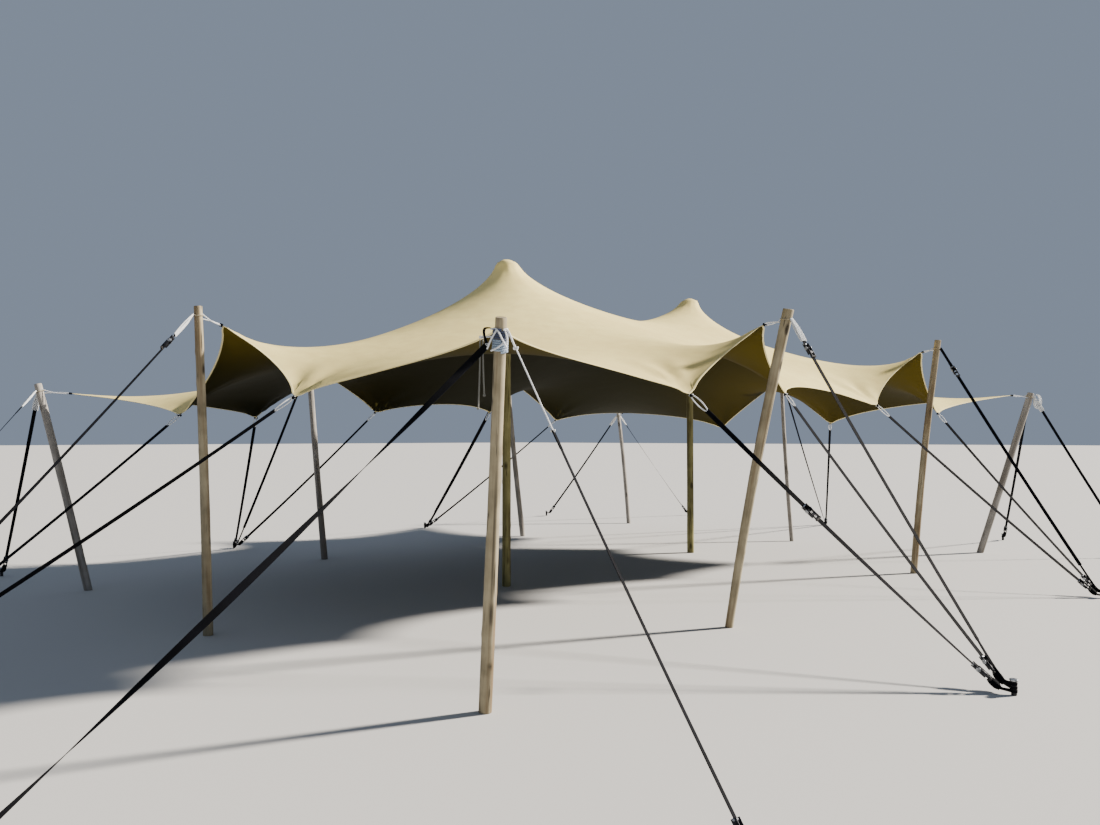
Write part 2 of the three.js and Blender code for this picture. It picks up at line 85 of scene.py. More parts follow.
# Cloth: the grid that it is relaxed on, its pulls, with some tighter stretches of the hem,
# the nub over each king pole, and the depth in metres and number of the folds that fan
# out from each held point
CELLS_ALONG = 36
CELLS_ACROSS = 24
STEPS_PER_CELL = 2
FINE_STEPS = 6
RELAX_ROUNDS = 420
OVER_RELAX = 1.95
HEM_PULL = {"front": 7, "back": 11, "left": 7, "right": 11}
TIGHT_HEMS = [
    {"side": "front", "from": 21, "to": 26, "pull": 12},
    {"side": "front", "from": 29, "to": 36, "pull": 20},
    {"side": "left", "from": 16, "to": 24, "pull": 30},
]
STIFF_REACH = 2.8
STIFF_CORE = 0.2
STIFF_FALL = 1.4
NUB_RADIUS = 110
NUB_DROP = 45
FOLDS = {"tip": (0.004, 5), "low": (0.012, 6), "peak": (0.004, 13)}
FOLD_START = 0.16
FOLD_REACH = 0.5
AREA_STEPS = 5
CLOTH_THICK = 0.0026
CUT_LENGTH = 9.9
CUT_WIDTH = 6.4
# Painted glow: near these sunlit high tips, within this reach, the cloth lets more sunlight through.
GLOW_TIPS = ["front_left", "front_a", "front_b", "front_right", "left_mid", "right_mid"]
GLOW_REACH = 1.35
HEM_WIDTH = 0.014
HEM_THICK = 0.005
HEM_OUTSIDE = 0.003
HEM_STEPS = 5
SMOOTH_DEGREES = 40

# Wood
POLE_SIDES = 40
POLE_RINGS = 72
BRANCHES_PER_METRE = 3
RIM_WEAR = 0.004
FLAT_DEPTH = 0.03
SWELL_DEPTH = 0.014
BRANCH_DEPTHS = (0.05, 0.13)
BRANCH_REACH = 0.024
SCAR_DEPTH = 0.1
KING_RADII = [47, 43]
KING_CAP_HEIGHT = 120
KING_CAP_RADIUS = 60
CAP_OUTLINE = [(0, 0), (1, 0), (1, 0.22), (0.86, 0.35), (0.7, 0.46), (0.42, 0.66), (0.18, 0.84), (0, 1)]
KING_CAP_BELOW_PEAK = 4.35
POLE_BELOW_CAP = 0.35

# Ropes, webbing, ratchets and pegs
ROPE_RADIUS = 4.6
ROPE_LAY = 11
ROPE_REACH = 150
GUY_ROPE_REACH = 190
HANK_RADIUS = 18
WEB_WIDTH = 36
WEB_THICK = 3
WEB_THREAD = 4
WAVE_SCALE = 0.314
RATCHET_LENGTH = 150
RATCHET_ABOVE_LOOP = 80
RATCHET_FROM_POLE = 210
LOOP_LENGTH = 70
SLING_LENGTH = 300
SLING_NARROW = 0.5
PLIES_APART = 0.0024
EYELET_BAND = [0.022, 0.004]
WEB_OVERLAP = 0.012
STRAP_SAG = 0.009
PEG_RADIUS = 17
PEG_HEIGHT = 100
PEG_HEAD_RADIUS = 26
PEG_HEAD_THICK = 12
PLATE_EDGE = 0.0012
LASHING_THICK = 11
GUY_GRIP = 6
KNOT_RADIUS = 13
KNOTS = {"tip": 0.0095, "side": 0.0105, "low": 0.0135, "rope": 0.01, "hitch": 0.012,
         "webbing_hitch": 0.011, "rope_end": 0.0065}
SIDE_KNOT_HEIGHT = 26
TAIL_RADIUS = 4
CAD_GAP = 0.35

# King poles: foot in plan, height of the cloth above it, and its grid cell
KING_POLES = {
    "left": {"foot": [2988, 2892], "peak": 3552, "cell": [12, 12]},
    "right": {"foot": [6565, 2880], "peak": 3568, "cell": [25, 12]},
}

# Edge poles: foot in plan, top, bow at mid height, foot and top radius, wood, the cloth's
# high tip beside the pole, the grid cell of that tip, and the height of the lashing
POLE_FACTS = ["foot", "top", "bow", "radii", "wood", "tip", "cell", "lash"]
EDGE_POLES = {name: dict(zip(POLE_FACTS, facts)) for name, facts in {
    "front_left": [[40, 35], [-355, -505, 2220], [1, -1], [40, 30], "tan",
                   [-175, -292, 2195], [0, 0], 2125],
    "front_a": [[2917, 117], [2890, -464, 2640], [-18, 20], [34, 44], "tan",
                [2880, -242, 2530], [11, 0], 2560],
    "front_b": [[6869, -35], [6812, -364, 2740], [-2, 21], [40, 35], "tan",
                [6740, -202, 2600], [26, 0], 2645],
    "front_right": [[9312, -91], [9668, -676, 2225], [18, 4], [45, 42], "grey",
                    [9460, -475, 2190], [36, 0], 2175],
    "right_mid": [[8723, 2438], [9041, 2757, 2650], [-12, 10], [32, 28], "grey",
                  [8850, 2700, 2500], [36, 12], 2575],
    "back_right": [[9140, 5930], [9450, 6420, 2110], [10, -10], [38, 33], "grey",
                   [9300, 6200, 2080], [36, 24], 2035],
    "back_b": [[6348, 5966], [6310, 6300, 2650], [-12, 8], [42, 37], "grey",
               [6300, 6150, 2520], [25, 24], 2575],
    "back_a": [[2744, 6087], [2750, 6530, 2620], [-4, 4], [42, 38], "grey",
               [2750, 6270, 2500], [11, 24], 2545],
    "back_left": [[-168, 5954], [-571, 6325, 2170], [0, -22], [39, 37], "grey",
                  [-315, 6090, 2070], [0, 24], 2095],
    "left_mid": [[-208, 3075], [-358, 3005, 2660], [5, -6], [40, 32], "tan",
                 [-165, 2972, 2515], [0, 12], 2590],
}.items()}

# At one pole each guy hangs on a hitch that stands off the lashing, and has rope of its
# own length. Its scars have a share of its height, a side in degrees, a length and a width.
EDGE_POLES["front_left"].update({
    "hitches": [[54, -59, -62], [-50, 45, -45]], "guy_ropes": [520, 0],
    "scars": [[0.46, -122, 0.36, 0.005], [0.28, -120, 0.07, 0.011], [0.14, -104, 0.02, 0.013],
              [0.81, 150, 0.02, 0.012], [0.53, 160, 0.02, 0.012]],
})

# Low points of the hem, each held down by one strap: place, and grid cell. One strap has
# a second ratchet, with this much webbing under it.
LOW_POINTS = {
    "front_1": {"at": [1900, -170, 1926], "cell": [8, 0], "second_ratchet": [1500]},
    "front_2": {"at": [3600, -70, 2000], "cell": [14, 0]},
    "front_3": {"at": [5613, -104, 1958], "cell": [21, 0]},
    "front_4": {"at": [7484, -133, 1912], "cell": [29, 0]},
    "right_1": {"at": [8950, 1900, 1830], "cell": [36, 9]},
    "right_2": {"at": [8950, 3800, 1786], "cell": [36, 15]},
    "back_4": {"at": [7080, 5900, 1906], "cell": [28, 24]},
    "back_3": {"at": [5550, 5900, 2006], "cell": [22, 24]},
    "back_2": {"at": [3410, 5900, 1957], "cell": [14, 24]},
    "back_1": {"at": [1660, 5900, 1855], "cell": [7, 24]},
    "left_2": {"at": [-70, 3980, 1815], "cell": [0, 16]},
    "left_1": {"at": [-70, 2000, 1910], "cell": [0, 8]},
}

# Pegs shared by a pole's guy and the two low points beside it: place, and who they hold
SIDE_PEGS = {
    "front_a": {"at": [2494, -2148], "pole": "front_a", "lows": ["front_1", "front_2"]},
    "front_b": {"at": [6590, -1985], "pole": "front_b", "lows": ["front_3", "front_4"]},
    "right": {"at": [11400, 3100], "pole": "right_mid", "lows": ["right_1", "right_2"]},
    "back_b": {"at": [6020, 8085], "pole": "back_b", "lows": ["back_3", "back_4"]},
    "back_a": {"at": [2450, 8015], "pole": "back_a", "lows": ["back_1", "back_2"]},
    "left": {"at": [-2583, 3039], "pole": "left_mid", "lows": ["left_1", "left_2"]},
}
LOW_STRAP_LEVELS = [24, 46]
GUY_LEVEL = 70

# Each corner pole has two guys, each with a peg of its own
CORNER_PEGS = {
    "front_left": [[-636, -2186], [-2649, 64]],
    "front_right": [[10200, -1800], [11090, 65]],
    "back_right": [[11300, 6000], [9200, 8100]],
    "back_left": [[-540, 7650], [-2400, 5600]],
}
CORNER_GUY_LEVEL = 56

# Webbing twists: turn of the band about its strap, in degrees, at its upper and lower end
BAND_TURNS = {
    "front_left_1": (-33, -28), "front_left_2": (-84, 256), "front_1": (75, 0),
    "front_2": (-5, -5), "front_3": (51, 51), "front_4": (20, 5), "front_a": (8, 0),
    "front_b": (44, 50), "front_right_1": (80, 95), "left_mid": (30, 60),
    "left_1": (40, 55), "left_2": (-10, -5),
}
USUAL_TURNS = (15, 50)

# Side poles whose guy is webbing right from the pole, with no rope above it
BARE_GUYS = ["front_b"]

# White ropes crossed over the front left lashing, and the webbing that its left guy hangs
# on: their routes from the middle of the lashing
CROSSED_ROPES = [
    [[-20, 42, 38], [-46, -18, 28], [-60, 6, -20], [-60, 36, -68]],
    [[-40, 28, 36], [-44, -21, 28], [-30, -43, -20], [-9, -58, -68]],
    [[8, -46, 34], [-12, -48, 26], [-3, -54, -20], [-8, -51, -58]],
    [[-52, 16, -78], [-40, -30, -60], [-16, -48, -34]],
]
HITCH_ROPE = [[-20, -44, 26], [-4, -50, 30], [10, -58, 8], [30, -62, -34]]
HITCH_WEBBING = [[-22, 20, 36], [-38, 44, 44], [-54, 62, 38], [-56, 62, 6]]
HITCH_ACROSS = [-0.94, -0.34, 0]
HITCH_BAND = [0.024, 0.005]

# Lashings with spare rope coiled beside them, and the coil's width and height
COILED_LASHINGS = ["front_right"]
COIL_LOOPS = 9
COIL_SIZE = [110, 230]
COIL_OFF_POLE = 14

# Two loose rope ends that hang from the side knot of the front left pole
SIDE_KNOT = [-42, 98]
ROPE_TAILS = {
    "long": {"place": [-5, 5], "length": 360},
    "short": {"place": [5, -5], "length": 290},
}
TAIL_SWAY = 12

king_low, king_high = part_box("king_pole_left")
SHIFT = np.array((king_low + king_high) / 2) - [*np.array(KING_POLES["left"]["foot"]) * MM, 0]
SHIFT[2] = 0


def here(place):
    """A place in the part's millimetres as a point in the frame's metres."""
    return np.array(place, float) * MM + SHIFT


def unit(vectors):
    return vectors / np.linalg.norm(vectors, axis=-1, keepdims=True)


def times(amounts, vector):
    """The vector times each of the amounts."""
    return np.multiply.outer(amounts, vector)


def slanted(flat, degrees):
    """A level direction, lifted by so many degrees."""
    up = math.radians(degrees)
    return Vector((flat[0] * math.cos(up), flat[1] * math.cos(up), math.sin(up)))


def add_camera():
    bpy.ops.object.camera_add(location=here(EYE))
    camera = bpy.context.object
    look = slanted(LOOK_ALONG, LOOK_UP_DEGREES)
    camera.rotation_euler = look.to_track_quat("-Z", "Y").to_euler()
    camera.data.lens = LENS_MM
    camera.data.sensor_width = SENSOR_MM
    camera.data.clip_end = VIEW_REACH
    bpy.context.scene.camera = camera


# Materials
def colour(hex_value):
    """An sRGB hex colour as linear RGBA."""
    parts = [int(hex_value[k:k + 2], 16) / 255 for k in (1, 3, 5)]
    linear = [c / 12.92 if c <= 0.04045 else ((c + 0.055) / 1.055) ** 2.4 for c in parts]
    return (*linear, 1.0)


def add_node(tree, kind, given, stops=()):
    """Adds one shader node and returns its outputs. What it is given is a property, an
    input's value, or an output to link to an input. A colour ramp also has its stops."""
    node = tree.nodes.new(f"ShaderNode{kind}")
    for key, value in given.items():
        if isinstance(value, bpy.types.NodeSocket):
            tree.links.new(value, node.inputs[key])
        elif isinstance(key, int) or key in node.inputs:
            node.inputs[key].default_value = value
        else:
            setattr(node, key, value)
    for k, (place, hex_value) in enumerate(stops):
        node.color_ramp.elements[k].position = place
        node.color_ramp.elements[k].color = colour(hex_value)
    return node.outputs


def start_material(name):
    material = bpy.data.materials.new(name)
    material.use_nodes = True
    material.node_tree.nodes.clear()
    return material, material.node_tree


def end_material(tree, given):
    """The usual surface shader and the output of a material."""
    shader = add_node(tree, "BsdfPrincipled", given)
    add_node(tree, "OutputMaterial", {"Surface": shader[0]})


def stretch_cloth(name, light, dark, fade, glow, usual_share, glow_tip_share):
    """Knitted polyester with elastane under a matt waterproof film: soft, even and a
    little cloudy, with a fine rib that is drawn 7 mm wide so that it shows. Each face
    lets a share of the sunlight through, in its glow's colour. The share is greater near
    some high tips, through an attribute of the cloth: a painted glow, given only to the
    tips that stood in the sun."""
    material, tree = start_material(name)
    place = add_node(tree, "TexCoord", {})
    cloud = add_node(tree, "TexNoise", {"Scale": 0.9, "Detail": 3.0, "Vector": place["Object"]})
    stain = add_node(tree, "TexNoise", {"Scale": 7.0, "Detail": 6.0, "Roughness": 0.6,
                                        "Vector": place["Object"]})
    both = add_node(tree, "Math", {"operation": "MULTIPLY", 0: cloud[0], 1: stain[0]})
    tint = add_node(tree, "ValToRGB", {"Fac": both[0]}, [(0.1, dark), (0.42, light)])
    rib = add_node(tree, "TexWave", {"bands_direction": "X", "Scale": 45.0, "Distortion": 0.6,
                                     "Detail": 1.0, "Vector": place["UV"]})
    pucker = add_node(tree, "TexNoise", {"Scale": 2.6, "Detail": 2.0, "Vector": place["Object"]})
    fold = add_node(tree, "Bump", {"Strength": 0.35, "Distance": 0.03, "Height": pucker[0]})
    knit = add_node(tree, "Bump", {"Strength": 0.25, "Distance": 0.0006, "Height": rib["Fac"],
                                   "Normal": fold[0]})
    film = add_node(tree, "BsdfPrincipled", {"Base Color": tint[0], "Roughness": fade,
                                             "Specular IOR Level": 0.15, "Normal": knit[0]})
    through = add_node(tree, "BsdfTranslucent", {"Color": colour(glow), "Normal": knit[0]})
    # Painted glow: more of the sunlight passes near the sunlit tips.
    glow_near = add_node(tree, "Attribute", {"attribute_name": "painted_glow_share"})
    share = add_node(tree, "MapRange", {"To Min": usual_share, "To Max": glow_tip_share,
                                        "Value": glow_near["Fac"]})
    cloth_face = add_node(tree, "MixShader", {0: share[0], 1: film[0], 2: through[0]})
    add_node(tree, "OutputMaterial", {"Surface": cloth_face[0]})
    return material


def peeled_wood(name, light, dark, knot_colour_and_crack_shade, bark):
    """Peeled round wood, dried out of doors: fine long fibres, broad streaks of inner bark,
    a few fine drying cracks along the grain, and some darker knots. The cracks, and the
    pole's own scars through scar_depth, are drawn dark as painted shade in them; the knots
    are the wood's own darker colour. It follows the pole, through the attribute grain_place."""
    material, tree = start_material(name)
    place = add_node(tree, "Attribute", {"attribute_name": "grain_place"})["Vector"]
    along = add_node(tree, "Mapping", {"Scale": (1.0, 1.0, 0.045), "Vector": place})
    fibre = add_node(tree, "TexNoise", {"Scale": 150.0, "Detail": 5.0, "Roughness": 0.65,
                                        "Vector": along[0]})
    patch = add_node(tree, "TexNoise", {"Scale": 5.0, "Detail": 4.0, "Vector": place})
    grain = add_node(tree, "Math", {"operation": "MULTIPLY_ADD", 0: fibre[0], 1: 0.4, 2: patch[0]})
    tint = add_node(tree, "ValToRGB", {"Fac": grain[0]}, [(0.45, dark), (0.85, light)])
    streak = add_node(tree, "TexNoise", {"Scale": 16.0, "Detail": 2.0, "Vector": along[0]})
    left_bark = add_node(tree, "MapRange", {"From Min": 0.5, "From Max": 0.62, "To Max": 0.75,
                                            "Value": streak[0]})
    striped = add_node(tree, "Mix", {"data_type": "RGBA", "Factor": left_bark[0], "A": tint[0],
                                     "B": colour(bark)})
    # Crack lines, drawn dark as painted shade in them.
    split_line = add_node(tree, "TexNoise", {"Scale": 62.0, "Detail": 2.0, "Vector": along[0]})
    crack = add_node(tree, "MapRange", {"From Min": 0.31, "From Max": 0.36, "Value": split_line[0]})
    sparse = add_node(tree, "Mapping", {"Scale": (7.0, 7.0, 3.0), "Vector": place})
    branch = add_node(tree, "TexVoronoi", {"Scale": 1.0, "Randomness": 1.0, "Vector": sparse[0]})
    branch_knot = add_node(tree, "MapRange", {"From Min": 0.09, "From Max": 0.19,
                                              "Value": branch["Distance"]})
    clean = add_node(tree, "Math", {"operation": "MULTIPLY", 0: crack[0], 1: branch_knot[0]})
    # The pole's scars darken it too, as painted shade in their grooves.
    scar = add_node(tree, "Attribute", {"attribute_name": "scar_depth"})
    whole = add_node(tree, "Math", {"operation": "SUBTRACT", "use_clamp": True, 0: clean[0],
                                    1: scar["Fac"]})
    shown = add_node(tree, "MapRange", {"To Min": 0.12, "Value": whole[0]})
    # The dark colour: the knots' own colour, and painted shade in the cracks and scars.
    paint = add_node(tree, "Mix", {"data_type": "RGBA", "Factor": shown[0], "A": colour(knot_colour_and_crack_shade),
                                   "B": striped["Result"]})
    deep = add_node(tree, "Bump", {"Strength": 0.4, "Distance": 0.003, "Height": clean[0]})
    fine = add_node(tree, "Bump", {"Strength": 0.25, "Distance": 0.001, "Height": fibre[0],
                                   "Normal": deep[0]})
    end_material(tree, {"Base Color": paint["Result"], "Roughness": 0.78,
                        "Specular IOR Level": 0.3, "Normal": fine[0]})
    return material


def laid_rope(name, light, dark):
    """Three-strand polyester rope: the strands show as slanting ribs, one for each
    third of the lay, along the piece's own UV map in metres and turns."""
    material, tree = start_material(name)
    place = add_node(tree, "TexCoord", {})
    split = add_node(tree, "SeparateXYZ", {"Vector": place["UV"]})
    run = add_node(tree, "Math", {"operation": "MULTIPLY", 0: split["X"], 1: 1 / (ROPE_LAY * MM)})
    turn = add_node(tree, "Math", {"operation": "MULTIPLY_ADD", 0: split["Y"], 1: 3.0, 2: run[0]})
    angle = add_node(tree, "Math", {"operation": "MULTIPLY", 0: turn[0], 1: 2 * math.pi})
    strand = add_node(tree, "Math", {"operation": "SINE", 0: angle[0]})
    fuzz = add_node(tree, "TexNoise", {"Scale": 160.0, "Detail": 4.0, "Vector": place["Object"]})
    mixed = add_node(tree, "Math", {"operation": "MULTIPLY_ADD", 0: strand[0], 1: 0.28, 2: fuzz[0]})
    tint = add_node(tree, "ValToRGB", {"Fac": mixed[0]}, [(0.22, dark), (0.62, light)])
    relief = add_node(tree, "Bump", {"Strength": 0.9, "Distance": 0.0015, "Height": mixed[0]})
    end_material(tree, {"Base Color": tint[0], "Roughness": 0.7, "Sheen Weight": 0.2,
                        "Normal": relief[0]})
    return material


def woven_webbing(name, light, dark):
    """Black polyester webbing: ribs across it, drawn coarser than the real 2 mm, and matt."""
    material, tree = start_material(name)
    place = add_node(tree, "TexCoord", {})
    ribs = WAVE_SCALE / (WEB_THREAD * MM)
    weft = add_node(tree, "TexWave", {"bands_direction": "X", "Scale": ribs, "Distortion": 0.4,
                                      "Vector": place["UV"]})
    warp = add_node(tree, "TexWave", {"bands_direction": "Y", "Scale": ribs / 2, "Vector": place["UV"]})
    weave = add_node(tree, "Math", {"operation": "MULTIPLY", 0: weft["Fac"], 1: warp["Fac"]})
    dust = add_node(tree, "TexNoise", {"Scale": 9.0, "Detail": 5.0, "Vector": place["Object"]})
    mixed = add_node(tree, "Math", {"operation": "MULTIPLY_ADD", 0: weave[0], 1: 0.35, 2: dust[0]})
    tint = add_node(tree, "ValToRGB", {"Fac": mixed[0]}, [(0.4, dark), (0.95, light)])
    relief = add_node(tree, "Bump", {"Strength": 0.6, "Distance": 0.0008, "Height": weave[0]})
    end_material(tree, {"Base Color": tint[0], "Roughness": 0.85, "Specular IOR Level": 0.08,
                        "Normal": relief[0]})
    return material


def worn_metal(name, light, dark, roughness, metallic, wear_scale):
    """Zinc-plated or forged steel: cloudy from its coating, scratched and dulled by use."""
    material, tree = start_material(name)
    place = add_node(tree, "TexCoord", {})
    wear = add_node(tree, "TexNoise", {"Scale": wear_scale, "Detail": 6.0, "Roughness": 0.7,
                                       "Vector": place["Object"]})
    tint = add_node(tree, "ValToRGB", {"Fac": wear[0]}, [(0.38, dark), (0.62, light)])
    gloss = add_node(tree, "MapRange", {"To Min": roughness + 0.15, "To Max": roughness - 0.05,
                                        "Value": wear[0]})
    relief = add_node(tree, "Bump", {"Strength": 0.3, "Distance": 0.0005, "Height": wear[0]})
    end_material(tree, {"Base Color": tint[0], "Metallic": metallic, "Roughness": gloss[0],
                        "Normal": relief[0]})
    return material


def moulded_rubber(name, light, dark, grit_mm):
    """Moulded rubber: nearly black and matt, with a fine grit and grey dust."""
    material, tree = start_material(name)
    place = add_node(tree, "TexCoord", {})
    dust = add_node(tree, "TexNoise", {"Scale": 14.0, "Detail": 4.0, "Vector": place["Object"]})
    tint = add_node(tree, "Mix", {"data_type": "RGBA", "Factor": dust[0], "A": colour(dark),
                                  "B": colour(light)})
    grit = add_node(tree, "TexNoise", {"Scale": 1 / (grit_mm * MM), "Detail": 2.0,
                                       "Vector": place["Object"]})
    relief = add_node(tree, "Bump", {"Strength": 0.4, "Distance": 0.0006, "Height": grit[0]})
    end_material(tree, {"Base Color": tint["Result"], "Roughness": 0.82, "Normal": relief[0]})
    return material


def matt_paint(name, hex_value):
    """Plain matt paint, for the studio's floor."""
    material, tree = start_material(name)
    end_material(tree, {"Base Color": colour(hex_value), "Roughness": 0.9})
    return material


CLOTH_TOP = stretch_cloth("stretch_cloth_top", "#fae99f", "#ead68f", 0.75, "#e2d08c", 0.1, 0.25)
# Underside: the same sand cloth, drawn nearly black and olive as painted shade.
CLOTH_UNDER_PAINTED_SHADE = stretch_cloth("stretch_cloth_underside_painted_shade", "#181b09", "#121405", 0.85, "#80783a",
                            0.12, 0.46)
CLOTH_HEM = stretch_cloth("stretch_cloth_hem", "#fbf0b8", "#efdfa0", 0.75, "#e2d08c", 0.1, 0.1)
# Each wood's third colour is its knots' own colour and the painted shade of its cracks and scars.
WOODS = {
    "tan": peeled_wood("peeled_wood_tan", "#a59a7f", "#6f6650", "#241c12", "#6a5538"),
    "grey": peeled_wood("peeled_wood_weathered", "#a09b94", "#7c776f", "#45403a", "#716a61"),
    "king": peeled_wood("peeled_wood_brown", "#8f8a5c", "#68633b", "#332d14", "#524a2a"),
}
WHITE_ROPE = laid_rope("polyester_rope_white", "#f4f6f6", "#b4bac0")
NAVY_ROPE = laid_rope("polyester_rope_navy", "#3f4b6b", "#1a2032")
# Rope for the loose ends of the lashing: its grey is painted shade, darker than the rope's own colour, since
# they hang in shade.
TAIL_ROPE_PAINTED_SHADE = laid_rope("polyester_rope_shade_grey", "#7d7d75", "#4e4e48")
BLUE_ROPE = laid_rope("polyester_rope_light_blue", "#9fb3c6", "#5f7086")
SAND_ROPE = laid_rope("polyester_rope_sand", "#a79c80", "#7a7058")
BLACK_WEB = woven_webbing("polyester_webbing_black", "#0e0f16", "#050609")
ZINC = worn_metal("zinc_plated_steel", "#b9bdc2", "#5d6268", 0.4, 1.0, 60.0)
DARK_STEEL = worn_metal("blackened_steel", "#3a3b40", "#141417", 0.45, 0.7, 60.0)
FORGED = worn_metal("forged_steel_peg", "#3a3a3c", "#141415", 0.55, 0.6, 45.0)
RUBBER = moulded_rubber("moulded_rubber", "#33312f", "#161514", 1.2)


# Shaping
def choose(*pieces):
    """Selects these pieces and no others, and makes the first one active."""
    bpy.ops.object.select_all(action="DESELECT")
    for piece in pieces:
        piece.select_set(True)
    bpy.context.view_layer.objects.active = pieces[0]


@contextmanager
def editing(everything=True):
    """Edit mode on the active mesh, with everything selected or what was selected before."""
    bpy.ops.object.mode_set(mode="EDIT")
    if everything:
        bpy.ops.mesh.select_all(action="SELECT")
    yield
    bpy.ops.object.mode_set(mode="OBJECT")


def bevel(width, segments):
    with editing():
        bpy.ops.mesh.bevel(offset=width, segments=segments)


def active_piece(name):
    piece = bpy.context.object
    piece.name = name
    piece.data.name = name
    return piece


def give(piece, *materials):
    piece.data.materials.clear()
    for material in materials:
        piece.data.materials.append(material)
    return piece


def finished(piece, slot, *nodes):
    """Smooths the piece, which stands for these CAD nodes, if any, and rides on the tent."""
    choose(piece)
    bpy.ops.object.shade_smooth_by_angle(angle=math.radians(SMOOTH_DEGREES))
    if nodes:
        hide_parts(*nodes)
    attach(piece, "root")
    return piece


def join(name, parts):
    """Several meshes made one piece."""
    choose(*parts)
    bpy.ops.object.join()
    return active_piece(name)


def points_of(piece):
    points = np.zeros(len(piece.data.vertices) * 3, np.float32)
    piece.data.vertices.foreach_get("co", points)
    return points.reshape(-1, 3)


def set_points(piece, points):
    piece.data.vertices.foreach_set("co", np.asarray(points, np.float32).ravel())
    piece.data.update()


def set_uv(piece, metres):
    piece.data.uv_layers[0].data.foreach_set("uv", metres.astype(np.float32).ravel())


def set_attribute(piece, name, kind, field, values):
    attribute = piece.data.attributes.new(name, kind, "POINT")
    attribute.data.foreach_set(field, values.astype(np.float32).ravel())


def flat_grid(name, columns, rows):
    """A flat grid, with each point's column and row, and each face corner's UV."""
    bpy.ops.mesh.primitive_grid_add(x_subdivisions=columns, y_subdivisions=rows, size=1)
    piece = active_piece(name)
    place = points_of(piece) + 0.5
    uv = np.zeros(len(piece.data.loops) * 2, np.float32)
    piece.data.uv_layers[0].data.foreach_get("uv", uv)
    return piece, place[:, 0] * columns, place[:, 1] * rows, uv.reshape(-1, 2)


def step_lengths(path):
    return np.linalg.norm(np.diff(path, axis=0), axis=1)


def sweep(name, path, section, material, across=None):
    """A grid rolled into a tube along a path. The section is a ring of points in metres,
    across and up; its UV map holds metres along the path and turns round the section."""
    path = np.asarray(path, float)
    section = np.asarray(section, float)
    ring = len(section)
    last = len(path) - 1
    ways = np.gradient(path, axis=0)
    closed = np.linalg.norm(path[0] - path[-1]) < 1e-9
    if closed:
        ways[0] = ways[-1] = path[1] - path[-2]
    ways = unit(ways)
    if across is None:
        sides = np.zeros_like(path)
        guess = np.cross(ways[0], UP)
        if np.linalg.norm(guess) < 0.1:
            guess = np.array([1.0, 0.0, 0.0])
        for k, way in enumerate(ways):
            guess = sides[k] = unit(guess - way * guess.dot(way))
    else:
        across = np.broadcast_to(np.asarray(across, float), path.shape)
        sides = unit(across - ways * np.sum(across * ways, axis=1)[:, None])
    if closed:
        sides[-1] = sides[0]
    ups = np.cross(ways, sides)
    run = np.concatenate([[0], np.cumsum(step_lengths(path))])
    piece, column, row, uv = flat_grid(name, last, ring)
    i = np.rint(column).astype(int)
    j = np.rint(row).astype(int) % ring
    set_points(piece, path[i] + sides[i] * section[j, :1] + ups[i] * section[j, 1:])
    set_uv(piece, np.stack([run[np.rint(uv[:, 0] * last).astype(int)], uv[:, 1]], axis=1))
    with editing():
        bpy.ops.mesh.remove_doubles(threshold=1e-6)
        if not closed:
            bpy.ops.mesh.fill_holes(sides=0)
        bpy.ops.mesh.select_all(action="SELECT")
        bpy.ops.mesh.normals_make_consistent(inside=False)
    return give(piece, material)


def tube(name, path, radius, material=WHITE_ROPE, sides=8):
    turns = np.arange(sides) * 2 * math.pi / sides
    ring = np.stack([np.cos(turns), np.sin(turns)], axis=1) * radius
    return sweep(name, path, ring, material)


def band(width, thick):
    """Section of a flat band with rounded edges."""
    w, t = width / 2, thick / 2
    return [(-w, 0), (-w + t * 0.6, -t), (0, -t), (w - t * 0.6, -t),
            (w, 0), (w - t * 0.6, t), (0, t), (-w + t * 0.6, t)]


def carried_on(points):
    """The points with one more at each end, in a straight line."""
    return np.concatenate([2 * points[:1] - points[1:2], points, 2 * points[-1:] - points[-2:-1]])


def spline_weights(f):
    """Catmull-Rom weights of four neighbours, at a share of the way between the inner two."""
    return [
        (-f + 2 * f ** 2 - f ** 3) / 2,
        (2 - 5 * f ** 2 + 3 * f ** 3) / 2,
        (f + 4 * f ** 2 - 3 * f ** 3) / 2,
        (-f ** 2 + f ** 3) / 2,
    ]


def smooth_path(points, steps):
    """A Catmull-Rom line through the points, with so many steps between them."""
    ends = carried_on(np.asarray(points, float))
    weights = np.stack(spline_weights(np.arange(steps) / steps), axis=1)
    return np.vstack([*(weights @ ends[k:k + 4] for k in range(len(points) - 1)), points[-1]])


def rope(name, points, radius_mm=ROPE_RADIUS):
    return tube(name, smooth_path(points, 6), radius_mm * MM)


